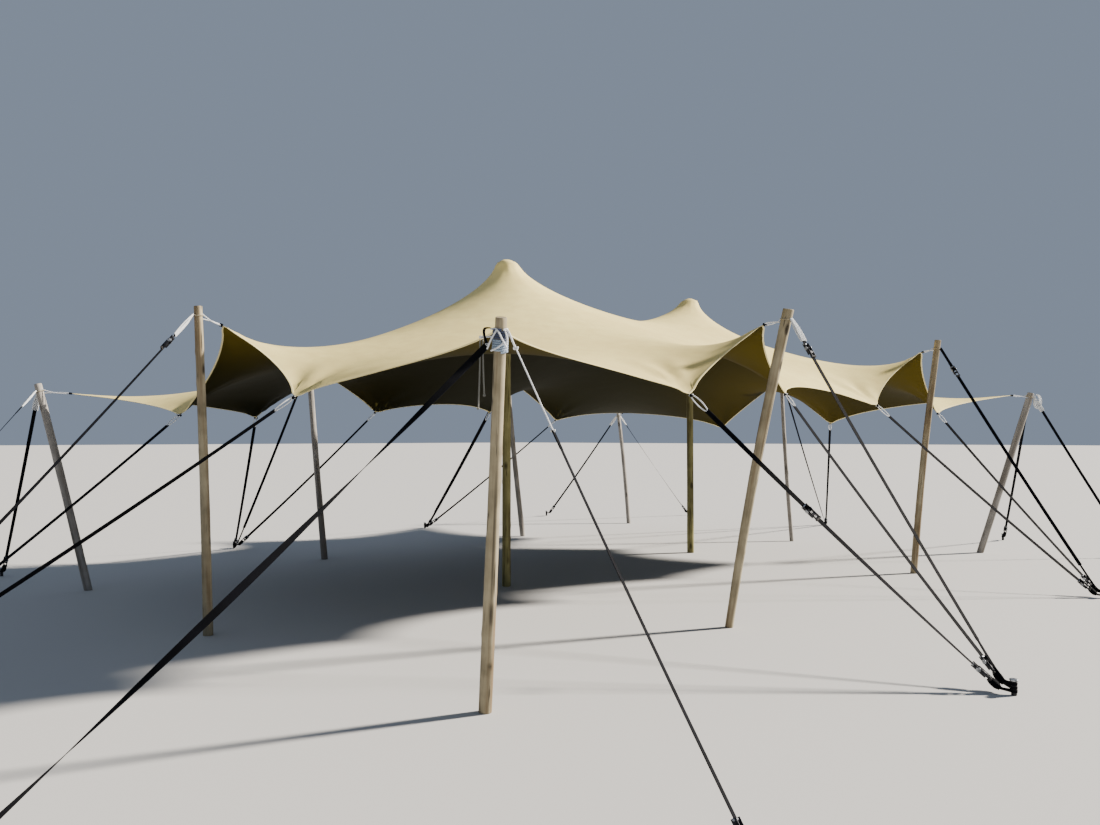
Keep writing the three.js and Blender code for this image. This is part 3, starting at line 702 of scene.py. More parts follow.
# Cloth
def relaxed_cloth():
    """The cloth at rest: a net of equal pulls, with a stiffer hem, held at its tips, low
    points and peaks. It is stiffer near the king poles too."""
    along = CELLS_ALONG * STEPS_PER_CELL
    across = CELLS_ACROSS * STEPS_PER_CELL
    i, j = np.meshgrid(np.arange(along + 1.0), np.arange(across + 1.0), indexing="ij")

    def stiffness(i, j):
        total = np.ones_like(i)
        for king in KING_POLES.values():
            away = np.hypot(i / STEPS_PER_CELL - king["cell"][0], j / STEPS_PER_CELL - king["cell"][1])
            total += (STIFF_REACH / (away + STIFF_CORE)) ** STIFF_FALL
        return total

    pull_along = stiffness(i[:-1] + 0.5, j[:-1])
    pull_across = stiffness(i[:, :-1], j[:, :-1] + 0.5)
    hems = {
        "front": pull_along[:, 0], "back": pull_along[:, -1],
        "left": pull_across[0], "right": pull_across[-1],
    }
    for side, hem in hems.items():
        hem[:] = HEM_PULL[side] * STEPS_PER_CELL
    for tight in TIGHT_HEMS:
        stretch = slice(tight["from"] * STEPS_PER_CELL, tight["to"] * STEPS_PER_CELL)
        hems[tight["side"]][stretch] = tight["pull"] * STEPS_PER_CELL
    pull_along, pull_across = pull_along[..., None], pull_across[..., None]

    def pulls(points):
        """What the neighbours' pulls add up to, at each point."""
        pulled = np.zeros_like(points)
        pulled[:-1] += pull_along * points[1:]
        pulled[1:] += pull_along * points[:-1]
        pulled[:, :-1] += pull_across * points[:, 1:]
        pulled[:, 1:] += pull_across * points[:, :-1]
        return pulled

    corners = [np.array(EDGE_POLES[name]["tip"], float)
               for name in ("front_left", "front_right", "back_left", "back_right")]
    u = (i / along)[..., None]
    v = (j / across)[..., None]
    points = ((corners[0] * (1 - u) + corners[1] * u) * (1 - v)
              + (corners[2] * (1 - u) + corners[3] * u) * v)
    total = pulls(np.ones_like(points))
    free = np.ones_like(i, bool)

    def hold(a, b, place):
        a, b = round(a * STEPS_PER_CELL), round(b * STEPS_PER_CELL)
        points[a, b] = place
        free[a, b] = False

    for pole in EDGE_POLES.values():
        hold(*pole["cell"], pole["tip"])
    for low in LOW_POINTS.values():
        hold(*low["cell"], low["at"])
    for king in KING_POLES.values():
        peak = np.array([*king["foot"], king["peak"]])
        hold(*king["cell"], peak)
        for turn in np.arange(8) * math.pi / 4:
            way = np.array([math.cos(turn), math.sin(turn)])
            hold(*(king["cell"] + np.rint(way) / STEPS_PER_CELL),
                 peak + [*(NUB_RADIUS * way), -NUB_DROP])

    for step in range(RELAX_ROUNDS):
        for shade in (0, 1):
            pulled = pulls(points) / total
            now = free & ((i + j) % 2 == shade)
            points[now] += OVER_RELAX * (pulled[now] - points[now])
    return points * MM + SHIFT


NET = carried_on(carried_on(relaxed_cloth()).swapaxes(0, 1)).swapaxes(0, 1)


def net_at(s, t):
    """Smooth surface through the net, at grid cells s and t."""
    def weights(cell, last):
        place = np.clip(cell * STEPS_PER_CELL, 0, last)
        base = np.minimum(np.floor(place), last - 1).astype(int)
        return base, spline_weights(place - base)

    a, wa = weights(np.asarray(s, float), CELLS_ALONG * STEPS_PER_CELL)
    b, wb = weights(np.asarray(t, float), CELLS_ACROSS * STEPS_PER_CELL)
    result = 0
    for p in range(4):
        for q in range(4):
            result = result + (wa[p] * wb[q])[..., None] * NET[a + p, b + q]
    return result


FOLDED_AT = [(held["cell"], *FOLDS[kind])
             for kind, group in (("tip", EDGE_POLES), ("low", LOW_POINTS), ("peak", KING_POLES))
             for held in group.values()]


def folds(s, t):
    """Height of the pull folds that fan out from each held point, in metres."""
    height = np.zeros_like(s)
    for number, (cell, depth, count) in enumerate(FOLDED_AT):
        du = (s - cell[0]) * CUT_LENGTH / CELLS_ALONG
        dv = (t - cell[1]) * CUT_WIDTH / CELLS_ACROSS
        away = np.hypot(du, dv)
        turn = np.arctan2(dv, du)
        near = away / FOLD_START
        fade = near * np.exp(1 - near) * np.exp(-(away / FOLD_REACH) ** 2)
        waver = 0.5 * np.sin(1.7 * turn + number) + 2.2 * away
        height += depth * np.cos(count * turn + waver + 1.3 * number) * fade
    return height


def cloth_at(s, t):
    """Middle of the cloth and its upward normal, with the folds."""
    s = np.asarray(s, float)
    t = np.asarray(t, float)
    step = 0.05
    along = net_at(np.minimum(s + step, CELLS_ALONG), t) - net_at(np.maximum(s - step, 0), t)
    across = net_at(s, np.minimum(t + step, CELLS_ACROSS)) - net_at(s, np.maximum(t - step, 0))
    normal = unit(np.cross(along, across))
    return net_at(s, t) + normal * folds(s, t)[..., None], normal


def cloth_area():
    s, t = (np.linspace(0, cells, cells * AREA_STEPS + 1) for cells in (CELLS_ALONG, CELLS_ACROSS))
    net = net_at(*np.meshgrid(s, t, indexing="ij"))
    first = np.cross(net[1:, :-1] - net[:-1, :-1], net[:-1, 1:] - net[:-1, :-1])
    second = np.cross(net[1:, :-1] - net[1:, 1:], net[:-1, 1:] - net[1:, 1:])
    return float(np.linalg.norm(first, axis=2).sum() + np.linalg.norm(second, axis=2).sum()) / 2


def make_canopy():
    """One sheet, thickened both ways, with its underside in the same cloth drawn nearly black as painted
    shade.
    """
    piece, column, row, uv = flat_grid("canopy_cloth", CELLS_ALONG * FINE_STEPS,
                                       CELLS_ACROSS * FINE_STEPS)
    middle, normal = cloth_at(column / FINE_STEPS, row / FINE_STEPS)
    set_points(piece, middle)
    set_uv(piece, uv * [CUT_LENGTH, CUT_WIDTH])
    give(piece, CLOTH_TOP, CLOTH_UNDER_PAINTED_SHADE)
    # Painted glow: how near each point is to the sunlit tips.
    glow_near = np.zeros(len(middle))
    for name in GLOW_TIPS:
        away = np.linalg.norm(middle - here(EDGE_POLES[name]["tip"]), axis=1)
        glow_near += np.exp(-(away / GLOW_REACH) ** 2)
    set_attribute(piece, "painted_glow_share", "FLOAT", "value", glow_near)
    choose(piece)
    sheet = piece.modifiers.new("sheet", "SOLIDIFY")
    sheet.thickness = CLOTH_THICK
    sheet.offset = 0
    sheet.material_offset = 1
    bpy.ops.object.modifier_apply(modifier=sheet.name)
    return finished(piece, "cloth", "canopy")


def make_hem():
    """A narrow rolled and stitched edge all round the cloth."""
    corners = np.array([(0, 0), (CELLS_ALONG, 0), (CELLS_ALONG, CELLS_ACROSS), (0, CELLS_ACROSS)])
    loop = np.vstack([
        np.linspace(start, end, abs(end - start).max() * HEM_STEPS, endpoint=False)
        for start, end in zip(corners, np.roll(corners, -1, axis=0))])
    edge, normal = cloth_at(loop[:, 0], loop[:, 1])
    inward = unit(np.cross(normal, np.roll(edge, -1, axis=0) - np.roll(edge, 1, axis=0)))
    path = edge + inward * (HEM_WIDTH / 2 - HEM_OUTSIDE)
    piece = sweep("canopy_hem", np.vstack([path, path[:1]]), band(HEM_WIDTH, HEM_THICK), CLOTH_HEM,
                  across=np.vstack([inward, inward[:1]]))
    return finished(piece, "cloth")


# Poles
def lean_of(pole):
    return here(pole["top"]) - here([*pole["foot"], 0])


def axis_at(pole, share):
    """Point on a pole's bowed axis, at a share of its height."""
    share = np.asarray(share, float)[..., None]
    bow = np.array([*pole["bow"], 0]) * MM
    return here([*pole["foot"], 0]) + lean_of(pole) * share + bow * np.sin(math.pi * share)


def radius_at(pole, share):
    foot_radius, top_radius = pole["radii"]
    return (foot_radius + (top_radius - foot_radius) * share) * MM


def lashed_at(pole):
    return axis_at(pole, pole["lash"] / pole["top"][2])


def ringed_cylinder(name):
    """A cylinder of radius 1 and height 1, cut into rings, with two steps on each end."""
    bpy.ops.mesh.primitive_cylinder_add(vertices=POLE_SIDES, radius=1, depth=1)
    piece = active_piece(name)
    with editing():
        bpy.ops.mesh.select_mode(type="EDGE")
        bpy.ops.mesh.select_all(action="DESELECT")
    ends = [vertex.co.z for vertex in piece.data.vertices]
    for edge in piece.data.edges:
        edge.select = ends[edge.vertices[0]] * ends[edge.vertices[1]] < 0
    with editing(everything=False):
        bpy.ops.mesh.subdivide(number_cuts=POLE_RINGS)
        bpy.ops.mesh.select_mode(type="FACE")
        bpy.ops.mesh.select_all(action="DESELECT")
    for face in piece.data.polygons:
        face.select = abs(face.normal.z) > 0.9
    with editing(everything=False):
        bpy.ops.mesh.inset(thickness=0.09)
        bpy.ops.mesh.inset(thickness=0.35)
    return piece


def round_the_pole(turn, side, radius):
    """Distance round the pole from one side of it."""
    return np.angle(np.exp(1j * (turn - side))) * radius


def make_pole(name, pole, node, seed):
    """A peeled trunk: a cylinder made uneven and knotty, then stood on the pole's axis.
    Its foot is cut level with the ground."""
    piece = ringed_cylinder(name)
    rng = np.random.default_rng(seed)
    place = points_of(piece).astype(float)
    share = place[:, 2] + 0.5
    reach = np.hypot(place[:, 0], place[:, 1])
    turn = np.arctan2(place[:, 1], place[:, 0])
    tall = pole["top"][2] * MM
    radius = radius_at(pole, share)

    # Flattened sides, swells along the trunk, stubs of branches, and scars
    uneven = np.zeros_like(share)
    for lobes in (2, 3, 5):
        phase, drift = rng.uniform(0, 2 * math.pi), rng.uniform(-4, 4)
        uneven += rng.uniform(0.4, 1.0) * FLAT_DEPTH / math.sqrt(lobes) * np.sin(
            lobes * turn + phase + drift * share)
    for wave in (5, 11, 19):
        uneven += SWELL_DEPTH * rng.uniform(0.3, 1.0) * np.sin(wave * share * 2 + rng.uniform(0, 6))
    for branch in range(int(tall * BRANCHES_PER_METRE)):
        at, side = rng.uniform(0.06, 0.97), rng.uniform(-math.pi, math.pi)
        away = np.hypot((share - at) * tall, round_the_pole(turn, side, radius))
        uneven += rng.uniform(*BRANCH_DEPTHS) * np.exp(-(away / BRANCH_REACH) ** 2)
    scar = np.zeros_like(share)
    for at, side, length, width in pole.get("scars", []):
        along = np.abs(share - at) * tall / length
        around = round_the_pole(turn, math.radians(side), radius)
        scar = np.maximum(scar, np.exp(-along ** 4 - (around / width) ** 2))
    uneven -= SCAR_DEPTH * scar

    # The top's face stays round, with a worn rim, and the foot stays on the ground
    inner_top = (reach < 0.97) & (share > 0.5)
    spread = radius * reach * (1 + np.where(inner_top, 0.0, uneven))
    across = np.stack([spread * np.cos(turn), spread * np.sin(turn), np.zeros_like(turn)], axis=1)
    grain = np.stack([across[:, 0], across[:, 1], share * tall + seed * 3.1], axis=1)
    lean = unit(lean_of(pole))
    tilt = np.array(Vector(UP).rotation_difference(Vector(lean)).to_matrix())
    upper = share > 1e-6
    across[upper] = across[upper] @ tilt.T
    rim = (reach > 0.97) & (share > 0.999)
    stood = axis_at(pole, share) + across + times(np.where(rim, -RIM_WEAR, 0.0), lean)
    stood[~upper, 2] = 0
    set_points(piece, stood)
    set_attribute(piece, "grain_place", "FLOAT_VECTOR", "vector", grain)
    # scar_depth also darkens the wood in the scars: painted shade in the grooves.
    set_attribute(piece, "scar_depth", "FLOAT", "value", scar)
    give(piece, WOODS[pole["wood"]])
    return finished(piece, f"{pole['wood']}_wood", node)


def make_king_cap(side, king):
    """A rounded rubber pad that fills the peak over a king pole, spun from its outline."""
    foot = here([*king["foot"], king["peak"] - KING_CAP_BELOW_PEAK - KING_CAP_HEIGHT])
    mesh = bpy.data.meshes.new(f"cap_{side}")
    mesh.from_pydata(
        [foot + np.array([r * KING_CAP_RADIUS, 0, z * KING_CAP_HEIGHT]) * MM for r, z in CAP_OUTLINE],
        [(k, k + 1) for k in range(len(CAP_OUTLINE) - 1)], [])
    piece = bpy.data.objects.new(f"cap_{side}", mesh)
    bpy.context.scene.collection.objects.link(piece)
    choose(piece)
    with editing():
        bpy.ops.mesh.spin(steps=32, angle=2 * math.pi, center=foot, axis=(0, 0, 1))
        bpy.ops.mesh.select_all(action="SELECT")
        bpy.ops.mesh.remove_doubles(threshold=1e-5)
        bpy.ops.mesh.normals_make_consistent(inside=False)
    give(piece, RUBBER)
    return finished(piece, "cap_rubber", f"king_cap_{side}")


# Ropes, knots and turns
def knot(centre, size, material=WHITE_ROPE, name="knot"):
    """An overhand knot pulled tight: a trefoil of rope."""
    turns = np.linspace(0, 2 * math.pi, 40)
    line = np.stack([
        np.sin(turns) + 2 * np.sin(2 * turns),
        np.cos(turns) - 2 * np.cos(2 * turns),
        -1.3 * np.sin(3 * turns),
    ], axis=1) / 3.2
    line[-1] = line[0]
    return tube(name, centre + line * size, size * 0.42, material, 7)


def oval(centre, first, second, steps):
    """A closed loop about a centre, which starts at the end of its second half axis."""
    turns = np.linspace(0, 2 * math.pi, steps)
    path = centre + times(np.sin(turns), first) + times(np.cos(turns), second)
    path[-1] = path[0]
    return path


def pole_turns(pole, height_mm, count, radius_mm, material):
    """So many turns of rope round a pole, wound upwards and centred on a height."""
    turn = np.linspace(0, 2 * math.pi * count, 26 * count + 1)
    rise = (turn / (2 * math.pi) - count / 2) * 2 * radius_mm
    share = (height_mm + rise) / pole["top"][2]
    reach = radius_at(pole, share) + (radius_mm * 0.85 + 1.5) * MM
    lean = unit(lean_of(pole))
    out = unit(lean * FLAT - lean * (lean[0] ** 2 + lean[1] ** 2))
    side = np.cross(lean, out)
    path = (axis_at(pole, share) + out * (reach * np.cos(turn))[:, None]
            + side * (reach * np.sin(turn))[:, None])
    return tube("turns", path, radius_mm * MM, material)


def knot_beside(cell, target):
    """Centre of the knot that sits just outside a held point of the hem."""
    middle, normal = cloth_at(*cell)
    return middle + unit(target - middle) * (KNOT_RADIUS + CAD_GAP) * MM


def eyelet_loop(centre, towards):
    """A small loop of black webbing, sewn to the cloth, that the rope passes through."""
    way, side, up = strap_frame(centre, towards)
    path = oval(centre + way * 0.002, side * 0.02, way * 0.012, 21)
    return sweep("eyelet", path, band(*EYELET_BAND), BLACK_WEB, across=up)


def spare_coil(pole, middle, seed):
    """Spare rope, coiled in long loops and hung on the outer side of the lashing."""
    rng = np.random.default_rng(seed)
    out = unit(lean_of(pole) * FLAT)
    side = np.cross(out, UP)
    parts = []
    for k in range(COIL_LOOPS):
        wide, tall = rng.uniform(0.6, 1.0, 2) * COIL_SIZE * (MM / 2)
        centre = middle + out * ((pole["radii"][1] + COIL_OFF_POLE) * MM + wide * 0.8) - UP * tall * 0.7
        plane = unit(out + side * rng.uniform(-0.8, 0.8))
        parts.append(tube("coil", oval(centre, plane * wide, UP * tall, 25), ROPE_RADIUS * MM, sides=7))
    return parts


def make_lashing(name):
    """A rope round the pole, and two strands that spread from it to the cloth's tip. One
    pole has many blue turns instead, with white ropes crossed over them."""
    pole = EDGE_POLES[name]
    height = pole["lash"]
    at = lashed_at(pole)
    knot_centre = knot_beside(pole["cell"], at)
    radius = (pole["radii"][1] + ROPE_RADIUS) * MM
    way = unit(knot_centre - at)
    side = unit(np.cross(way, UP))
    parts = [knot(knot_centre, KNOTS["tip"]), eyelet_loop(knot_centre, at)]
    if "hitches" in pole:
        stub = np.array([*SIDE_KNOT, 0]) * MM
        parts += [pole_turns(pole, height + 12, 4, 6.5, NAVY_ROPE),
                  pole_turns(pole, height - 46, 5, 6, BLUE_ROPE)]
        parts += [rope("crossed", at + np.array(route) * MM) for route in CROSSED_ROPES]
        parts += [rope("stub", [at + stub * share for share in (0.4, 0.75, 1)]),
                  knot(at + stub, KNOTS["side"])]
    else:
        parts.append(pole_turns(pole, height - 5, 1, ROPE_RADIUS * 0.85, SAND_ROPE))
    if name in COILED_LASHINGS:
        parts += spare_coil(pole, at, len(name))
    for sign in (1, -1):
        start = at + way * radius * 0.6 + side * sign * radius * 0.3 + UP * 0.02 * sign
        end = knot_centre + side * sign * 0.014 - UP * 0.006 * sign
        bow = (start + end) / 2 - UP * (0.004 + 0.01 * sign)
        parts.append(rope("strand", [start - way * 0.015, start, bow, end]))
    return finished(join(f"{name}_lashing", parts), "rope", f"lashing_{name}")


# Webbing, ratchets and pegs
def box(name, size, centre):
    """A steel plate with worn edges."""
    bpy.ops.mesh.primitive_cube_add(size=1, location=centre)
    piece = active_piece(name)
    bpy.ops.transform.resize(value=size)
    bpy.ops.object.transform_apply(location=True, rotation=False, scale=True)
    bevel(PLATE_EDGE, 2)
    return give(piece, DARK_STEEL)


def cylinder(name, radius, length, centre, sides, material, rotation=(0, 0, 0)):
    bpy.ops.mesh.primitive_cylinder_add(vertices=sides, radius=radius, depth=length,
                                        location=centre, rotation=rotation)
    piece = active_piece(name)
    bpy.ops.object.transform_apply(location=True, rotation=True, scale=True)
    return give(piece, material)


def rod(name, radius, length, centre, sides, material, edge=0.001):
    """A round bar across the ratchet, along X."""
    piece = cylinder(name, radius, length, centre, sides, material, (0, math.pi / 2, 0))
    bevel(edge, 1)
    return piece


def make_ratchet():
    """A ratchet buckle, lying along +Z from 0, as wide as X and as thick as Y."""
    parts = []
    inner = WEB_WIDTH / 2 * MM + 0.0015
    for sign in (1, -1):
        parts += [
            box("frame", (0.003, 0.024, 0.104), (sign * (inner + 0.0015), 0, 0.06)),
            box("lever", (0.003, 0.02, 0.088), (sign * (inner - 0.003), 0.008, 0.094)),
            rod("wheel", 0.0155, 0.0028, (sign * (inner + 0.004), 0.001, 0.055), 14, ZINC, 0.0008),
        ]
    parts += [
        rod("spindle", 0.0135, inner * 1.9, (0, 0.001, 0.055), 24, BLACK_WEB),
        rod("axle", 0.006, inner * 2 + 0.012, (0, 0.001, 0.055), 16, ZINC),
        rod("end_bolt", 0.0055, inner * 2 + 0.01, (0, 0, 0.014), 12, ZINC),
        rod("grip", 0.0095, inner * 2 + 0.006, (0, 0.007, 0.139), 18, RUBBER),
        box("pawl", (inner * 1.7, 0.004, 0.022), (0, 0.0125, 0.096)),
    ]
    return join("ratchet", parts)


def place_ratchet(ratchet, line, run):
    """A copy of the ratchet with its own mesh, laid along a strap down to this run."""
    piece = ratchet.copy()
    piece.data = ratchet.data.copy()
    bpy.context.scene.collection.objects.link(piece)
    length = RATCHET_LENGTH * MM
    top = line.at(run - length)
    way = unit(line.at(run) - top)
    across = line.across(run - length / 2)
    turn = Matrix([across, np.cross(way, across), way]).transposed().to_4x4()
    turn.translation = Vector(top)
    piece.data.transform(turn)
    return piece


def make_peg(place):
    """A steel stake with a hammered head."""
    shaft = (PEG_HEIGHT - PEG_HEAD_THICK) * MM
    thick = PEG_HEAD_THICK * MM
    foot = here([*place, 0])
    body = cylinder("shaft", PEG_RADIUS * MM, shaft, foot + UP * shaft / 2, 24, FORGED)
    head = cylinder("head", PEG_HEAD_RADIUS * MM, thick, foot + UP * (PEG_HEIGHT * MM - thick / 2), 24, ZINC)
    bevel(0.003, 3)
    return [body, head]


def strap_frame(start, end):
    way = unit(end - start)
    side = unit(np.cross(UP, way))
    return way, side, np.cross(way, side)


class StrapLine:
    """The line of a strap, which sags a little, and the turn of its band about it. A run
    is a distance in metres from its upper end."""

    def __init__(self, start, end, turns):
        self.start = start
        self.length = float(np.linalg.norm(end - start))
        self.way, self.side, self.up = strap_frame(start, end)
        self.turns = np.radians(turns)

    def share(self, run):
        return np.clip(np.asarray(run, float) / self.length, 0, 1)

    def at(self, run):
        share = self.share(run)
        drop = 4 * share * (1 - share) * STRAP_SAG * self.length
        return self.start + times(run, self.way) - times(drop, UP)

    def turn(self, run):
        return self.turns[0] + (self.turns[1] - self.turns[0]) * self.share(run)

    def across(self, run):
        turn = self.turn(run)
        return times(np.cos(turn), self.side) + times(np.sin(turn), self.up)

    def beside(self, run, wide, high):
        """Points beside the line: so far across the band, and so far over it."""
        across = self.across(run)
        return self.at(run) + across * wide[:, None] + np.cross(self.way, across) * high[:, None]

    def web(self, first, last, steps, width=1.0, thick=1.0):
        """Webbing between two runs, so many times as wide and thick as a single band."""
        run = np.linspace(first, last, steps)
        section = band(WEB_WIDTH * MM * width, WEB_THICK * MM * thick)
        return sweep("web", self.at(run), section, BLACK_WEB, across=self.across(run))


def single_rope(line, reach):
    """One strand of rope, down to a knot at the webbing."""
    run = np.linspace(0, reach + 0.02, 16)
    strand = tube("rope", line.at(run), ROPE_RADIUS * MM * 0.85)
    return [strand, knot(line.at(reach + 0.01), KNOTS["rope"])]


def bare_webbing(line, reach):
    """Webbing that starts at the pole or at its hitch, with no rope above it."""
    return [line.web(0, reach + 0.03, 6, 0.9, 1.6)]


def rope_loop(line, reach):
    """An open loop of rope from the cloth's knot to the sewn end of the webbing."""
    share = np.linspace(0, 1, 14)
    wide = 0.004 + 0.015 * np.sin(math.pi * share) ** 0.6
    return [tube("rope", line.beside(share * (reach + 0.014), side * wide, 0 * wide),
                 ROPE_RADIUS * MM * 1.05, sides=7) for side in (1, -1)]


def rope_hank(line, reach):
    """Rope passed to and fro between the pole and the ratchet's end bolt, in two layers
    that spread to the width of the bolt."""
    share = np.linspace(0, 1, 12)
    parts = []
    for k in range(8):
        wide = HANK_RADIUS * MM * (k / 3.5 - 1) * (0.45 + 0.9 * np.sin(math.pi * 0.62 * share))
        high = (0.0056 if k % 2 else -0.0056) * np.sin(math.pi * (0.08 + 0.84 * share))
        path = line.beside(share * (reach + 0.034), wide, high)
        parts.append(tube("rope", path, ROPE_RADIUS * MM * 1.12, sides=7))
    return parts


def wound_tail(line, first, last):
    """The spare end of the webbing, wound round its own strap."""
    turns = np.linspace(0, 2 * math.pi * 6, 110)
    share = turns / turns[-1]
    reach = (0.010 + 0.013 * np.sin(math.pi * share) ** 0.7)[:, None]
    path = line.at(first + (last - first) * share) + reach * (
        times(np.cos(turns), line.side) + times(np.sin(turns), line.up))
    return sweep("tail", path, band(WEB_WIDTH * MM * 0.8, WEB_THICK * MM), BLACK_WEB, across=line.way)


def peg_sling(line, start_run, peg):
    """Two plies of webbing that turn on edge, open, and pass round the peg."""
    loop_radius = (PEG_RADIUS + WEB_THICK / 2 + 1.2) * MM
    end = line.start + line.way * line.length
    level = unit(peg - end)
    route = smooth_path([line.at(start_run), line.at(start_run * 0.4 + line.length * 0.6),
                         end + line.way * -0.012 + level * 0.01, peg], 10)
    half_turn = math.pi / 2
    first_turn = (float(line.turn(start_run)) + half_turn) % math.pi - half_turn
    hand = -1 if first_turn > 0 else 1
    share = np.linspace(0, 1, len(route))[:, None]
    turned = -first_turn + (hand * half_turn + first_turn) * (3 * share ** 2 - 2 * share ** 3)
    apart = PLIES_APART + (loop_radius - PLIES_APART) * share ** 5
    lift = unit(np.cross(unit(np.gradient(route, axis=0)), line.side))
    offset = (lift * np.cos(turned) + line.side * np.sin(turned)) * apart
    wide = line.side * np.cos(turned) - lift * np.sin(turned)
    bend = math.pi * np.arange(1, 14) / 14
    round_peg = peg + loop_radius * (times(hand * np.cos(bend), line.side) + times(np.sin(bend), level))
    path = np.vstack([route + offset, round_peg, (route - offset)[::-1]])
    wides = np.vstack([wide, np.tile(wide[-1], (13, 1)), wide[::-1]])
    section = band(WEB_WIDTH * MM * SLING_NARROW, WEB_THICK * MM * 0.8)
    return sweep("sling", path, section, BLACK_WEB, across=wides)


def make_strap(start, peg, ratchet, turns, upper, reach_mm, *below_mm):
    """Rope of some kind, then webbing with ratchets, then a sling round the peg. Each
    ratchet's place is given by the webbing that is left under it, the lowest one first."""
    line = StrapLine(start, peg + unit((start - peg) * FLAT) * LOOP_LENGTH * MM, turns)
    reach = reach_mm * MM
    parts = upper(line, reach)
    buckles = [line.length - below * MM for below in below_mm]
    sling_start = max(buckles[0] - WEB_OVERLAP, line.length - SLING_LENGTH * MM)

    # Webbing down to each ratchet and past it, with a sewn end that is double
    first = reach + WEB_OVERLAP
    for buckle in sorted(buckles):
        parts.append(line.web(first, buckle - RATCHET_LENGTH * MM + 0.05, 40))
        first = buckle - WEB_OVERLAP
    if sling_start > first + 0.01:
        parts.append(line.web(first, sling_start + 0.02, 40))
    sewn = min(0.12, (min(buckles) - RATCHET_LENGTH * MM - reach) * 0.8)
    parts.append(line.web(reach + 0.01, reach + max(sewn, 0.02), 5, 0.98, 2.2))

    parts += [place_ratchet(ratchet, line, buckle) for buckle in buckles]
    if below_mm[0] == RATCHET_ABOVE_LOOP:
        parts.append(wound_tail(line, buckles[0] - 0.01, line.length - 0.02))
    parts.append(peg_sling(line, sling_start, peg))
    return parts


def rope_hitch(middle, start):
    """A white rope from the front of the lashing to the guy's first knot."""
    route = np.vstack([middle + np.array(HITCH_ROPE) * MM, start])
    return [rope("hitch", route, ROPE_RADIUS * 1.2), knot(start, KNOTS["hitch"])]


def webbing_hitch(middle, start):
    """Black webbing from the top of the lashing, bent over and down to the guy's start."""
    route = smooth_path(np.vstack([middle + np.array(HITCH_WEBBING) * MM, start]), 6)
    return [sweep("hitch", route, band(*HITCH_BAND), BLACK_WEB, across=HITCH_ACROSS),
            knot(start, KNOTS["webbing_hitch"])]


def make_guy(name, pole, number, place, level, ratchet, high):
    """A strap from a pole: from the outer face of its lashing, or from a hitch beside it."""
    peg = here([*place, level])
    middle = lashed_at(pole)
    turns = BAND_TURNS.get(name, USUAL_TURNS)
    below = RATCHET_ABOVE_LOOP
    if "hitches" in pole:
        start = middle + np.array(pole["hitches"][number]) * MM
        upper, fastening = ((single_rope, rope_hitch), (bare_webbing, webbing_hitch))[number]
        parts = make_strap(start, peg, ratchet, turns, upper, pole["guy_ropes"][number], below)
        return parts + fastening(middle, start)
    grip = pole["radii"][1] + LASHING_THICK - GUY_GRIP
    start = middle + unit((peg - middle) * FLAT) * grip * MM
    if high:
        below = np.linalg.norm(start - peg) / MM - LOOP_LENGTH - RATCHET_FROM_POLE - RATCHET_LENGTH
    upper = bare_webbing if name in BARE_GUYS else rope_hank
    return make_strap(start, peg, ratchet, turns, upper, GUY_ROPE_REACH, below)


def make_straps():
    ratchet = make_ratchet()
    for name, peg in SIDE_PEGS.items():
        finished(join(f"{name}_peg", make_peg(peg["at"])), "peg_steel", f"peg_{name}")
        holder = peg["pole"]
        parts = make_guy(holder, EDGE_POLES[holder], 0, peg["at"], GUY_LEVEL, ratchet, True)
        finished(join(f"{holder}_guy", parts), "webbing", f"guy_{holder}")
        for low_name, level in zip(peg["lows"], LOW_STRAP_LEVELS):
            low = LOW_POINTS[low_name]
            end = here([*peg["at"], level])
            start = knot_beside(low["cell"], end)
            parts = make_strap(start, end, ratchet, BAND_TURNS.get(low_name, USUAL_TURNS), rope_loop,
                               ROPE_REACH, RATCHET_ABOVE_LOOP, *low.get("second_ratchet", []))
            parts += [knot(start, KNOTS["low"]), eyelet_loop(start, end)]
            finished(join(f"{low_name}_strap", parts), "webbing", f"strap_{low_name}")
    for name, pegs in CORNER_PEGS.items():
        for number, place in enumerate(pegs):
            label = f"{name}_{number + 1}"
            parts = make_guy(label, EDGE_POLES[name], number, place, CORNER_GUY_LEVEL, ratchet, False)
            finished(join(f"{name}_guy_{number + 1}", parts + make_peg(place)), "webbing", f"guy_{label}")
    bpy.data.objects.remove(ratchet)


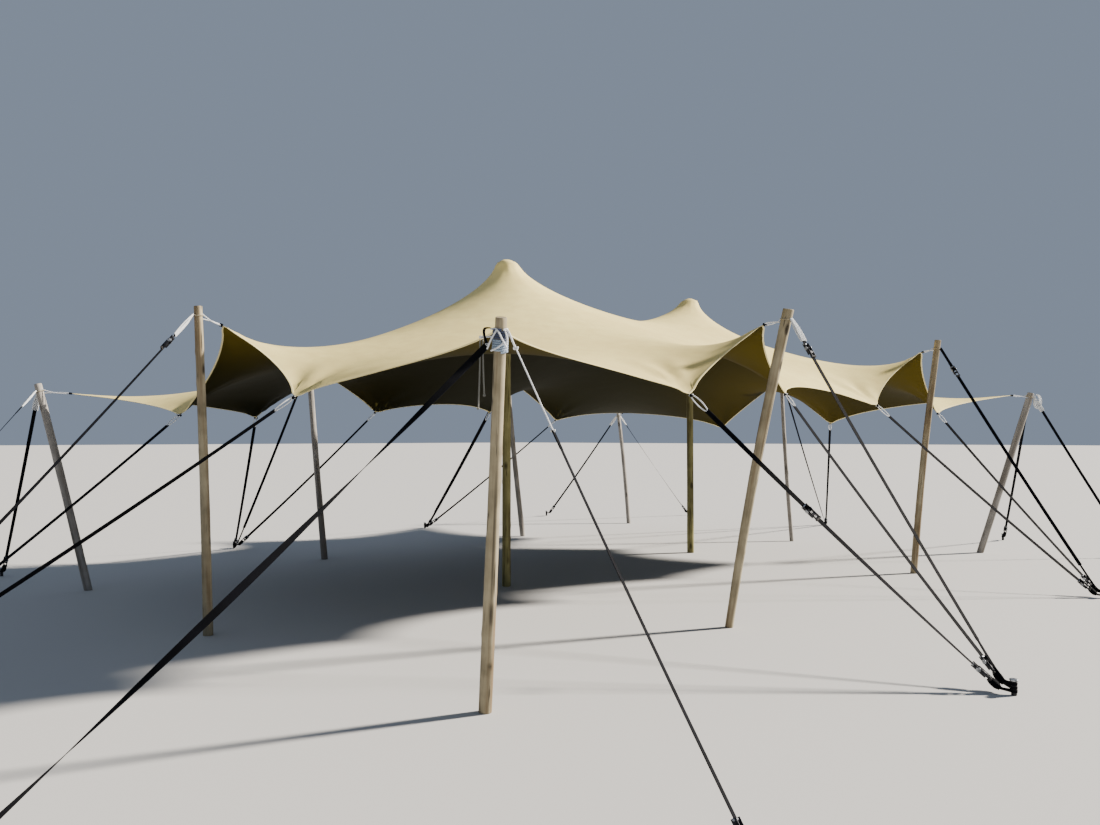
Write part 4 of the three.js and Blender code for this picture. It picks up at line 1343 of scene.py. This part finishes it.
# Cords
def make_tails():
    """Two loose ends of the front left lashing, which hang straight from its side knot."""
    for name, tail in ROPE_TAILS.items():
        offset = [SIDE_KNOT[0] + tail["place"][0], SIDE_KNOT[1] + tail["place"][1],
                  -SIDE_KNOT_HEIGHT / 2 - CAD_GAP]
        top = lashed_at(EDGE_POLES["front_left"]) + np.array(offset) * MM
        sway = TAIL_SWAY * math.copysign(1, tail["place"][0])
        path = [top + np.array([sway * share ** 2, 0, -tail["length"] * share]) * MM
                for share in np.linspace(0, 1, 30)]
        # The tails and their knots are drawn grey as painted shade.
        piece = tube(f"rope_end_{name}", path, TAIL_RADIUS * MM, TAIL_ROPE_PAINTED_SHADE)
        finished(piece, "rope", f"rope_tail_{name}")
        end_knot = finished(knot(path[-1], KNOTS["rope_end"], TAIL_ROPE_PAINTED_SHADE, f"rope_end_{name}_knot"), "rope")


# Studio
def add_studio():
    bpy.ops.mesh.primitive_plane_add(size=FLOOR_SIZE, location=(0, 0, -0.002))
    floor = active_piece("studio_floor")
    give(floor, matt_paint("studio_floor", "#bdbcb9"))
    floor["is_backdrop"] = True
    bpy.ops.object.light_add(type="SUN")
    sun = bpy.context.object
    azimuth = math.radians(SUN_AZIMUTH_DEGREES)
    look = np.array(LOOK_ALONG)
    flat = np.array([look[1], -look[0]]) * math.sin(azimuth) + look * math.cos(azimuth)
    sun.rotation_euler = slanted(flat, SUN_HEIGHT_DEGREES).to_track_quat("Z", "Y").to_euler()
    sun.data.energy = SUN_STRENGTH
    sun.data.angle = math.radians(SUN_SOFTNESS_DEGREES)
    sun.data.color = colour("#fff6ea")[:3]
    world = bpy.data.worlds.new("studio")
    bpy.context.scene.world = world
    world.use_nodes = True
    sky = world.node_tree.nodes["Background"].inputs
    sky["Color"].default_value = colour("#bfd0ea")
    sky["Strength"].default_value = SKY_STRENGTH


add_camera()
make_tails()
cloth = make_canopy()
hem = make_hem()
for number, (name, pole) in enumerate(EDGE_POLES.items()):
    make_pole(f"{name}_pole", pole, f"pole_{name}", number)
    make_lashing(name)
for number, (side, king) in enumerate(KING_POLES.items(), 20):
    pole_top = king["peak"] - KING_CAP_BELOW_PEAK - KING_CAP_HEIGHT - POLE_BELOW_CAP
    king_pole = {
        "foot": king["foot"], "top": [*king["foot"], pole_top], "bow": [0, 0],
        "radii": KING_RADII, "wood": "king",
    }
    make_pole(f"king_{side}_pole", king_pole, f"king_pole_{side}", number)
    make_king_cap(side, king)
make_straps()
add_studio()

low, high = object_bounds()
({"cad": [list(cad_low), list(cad_high)], "visual": [list(low), list(high)],
           "cloth_area": cloth_area()})
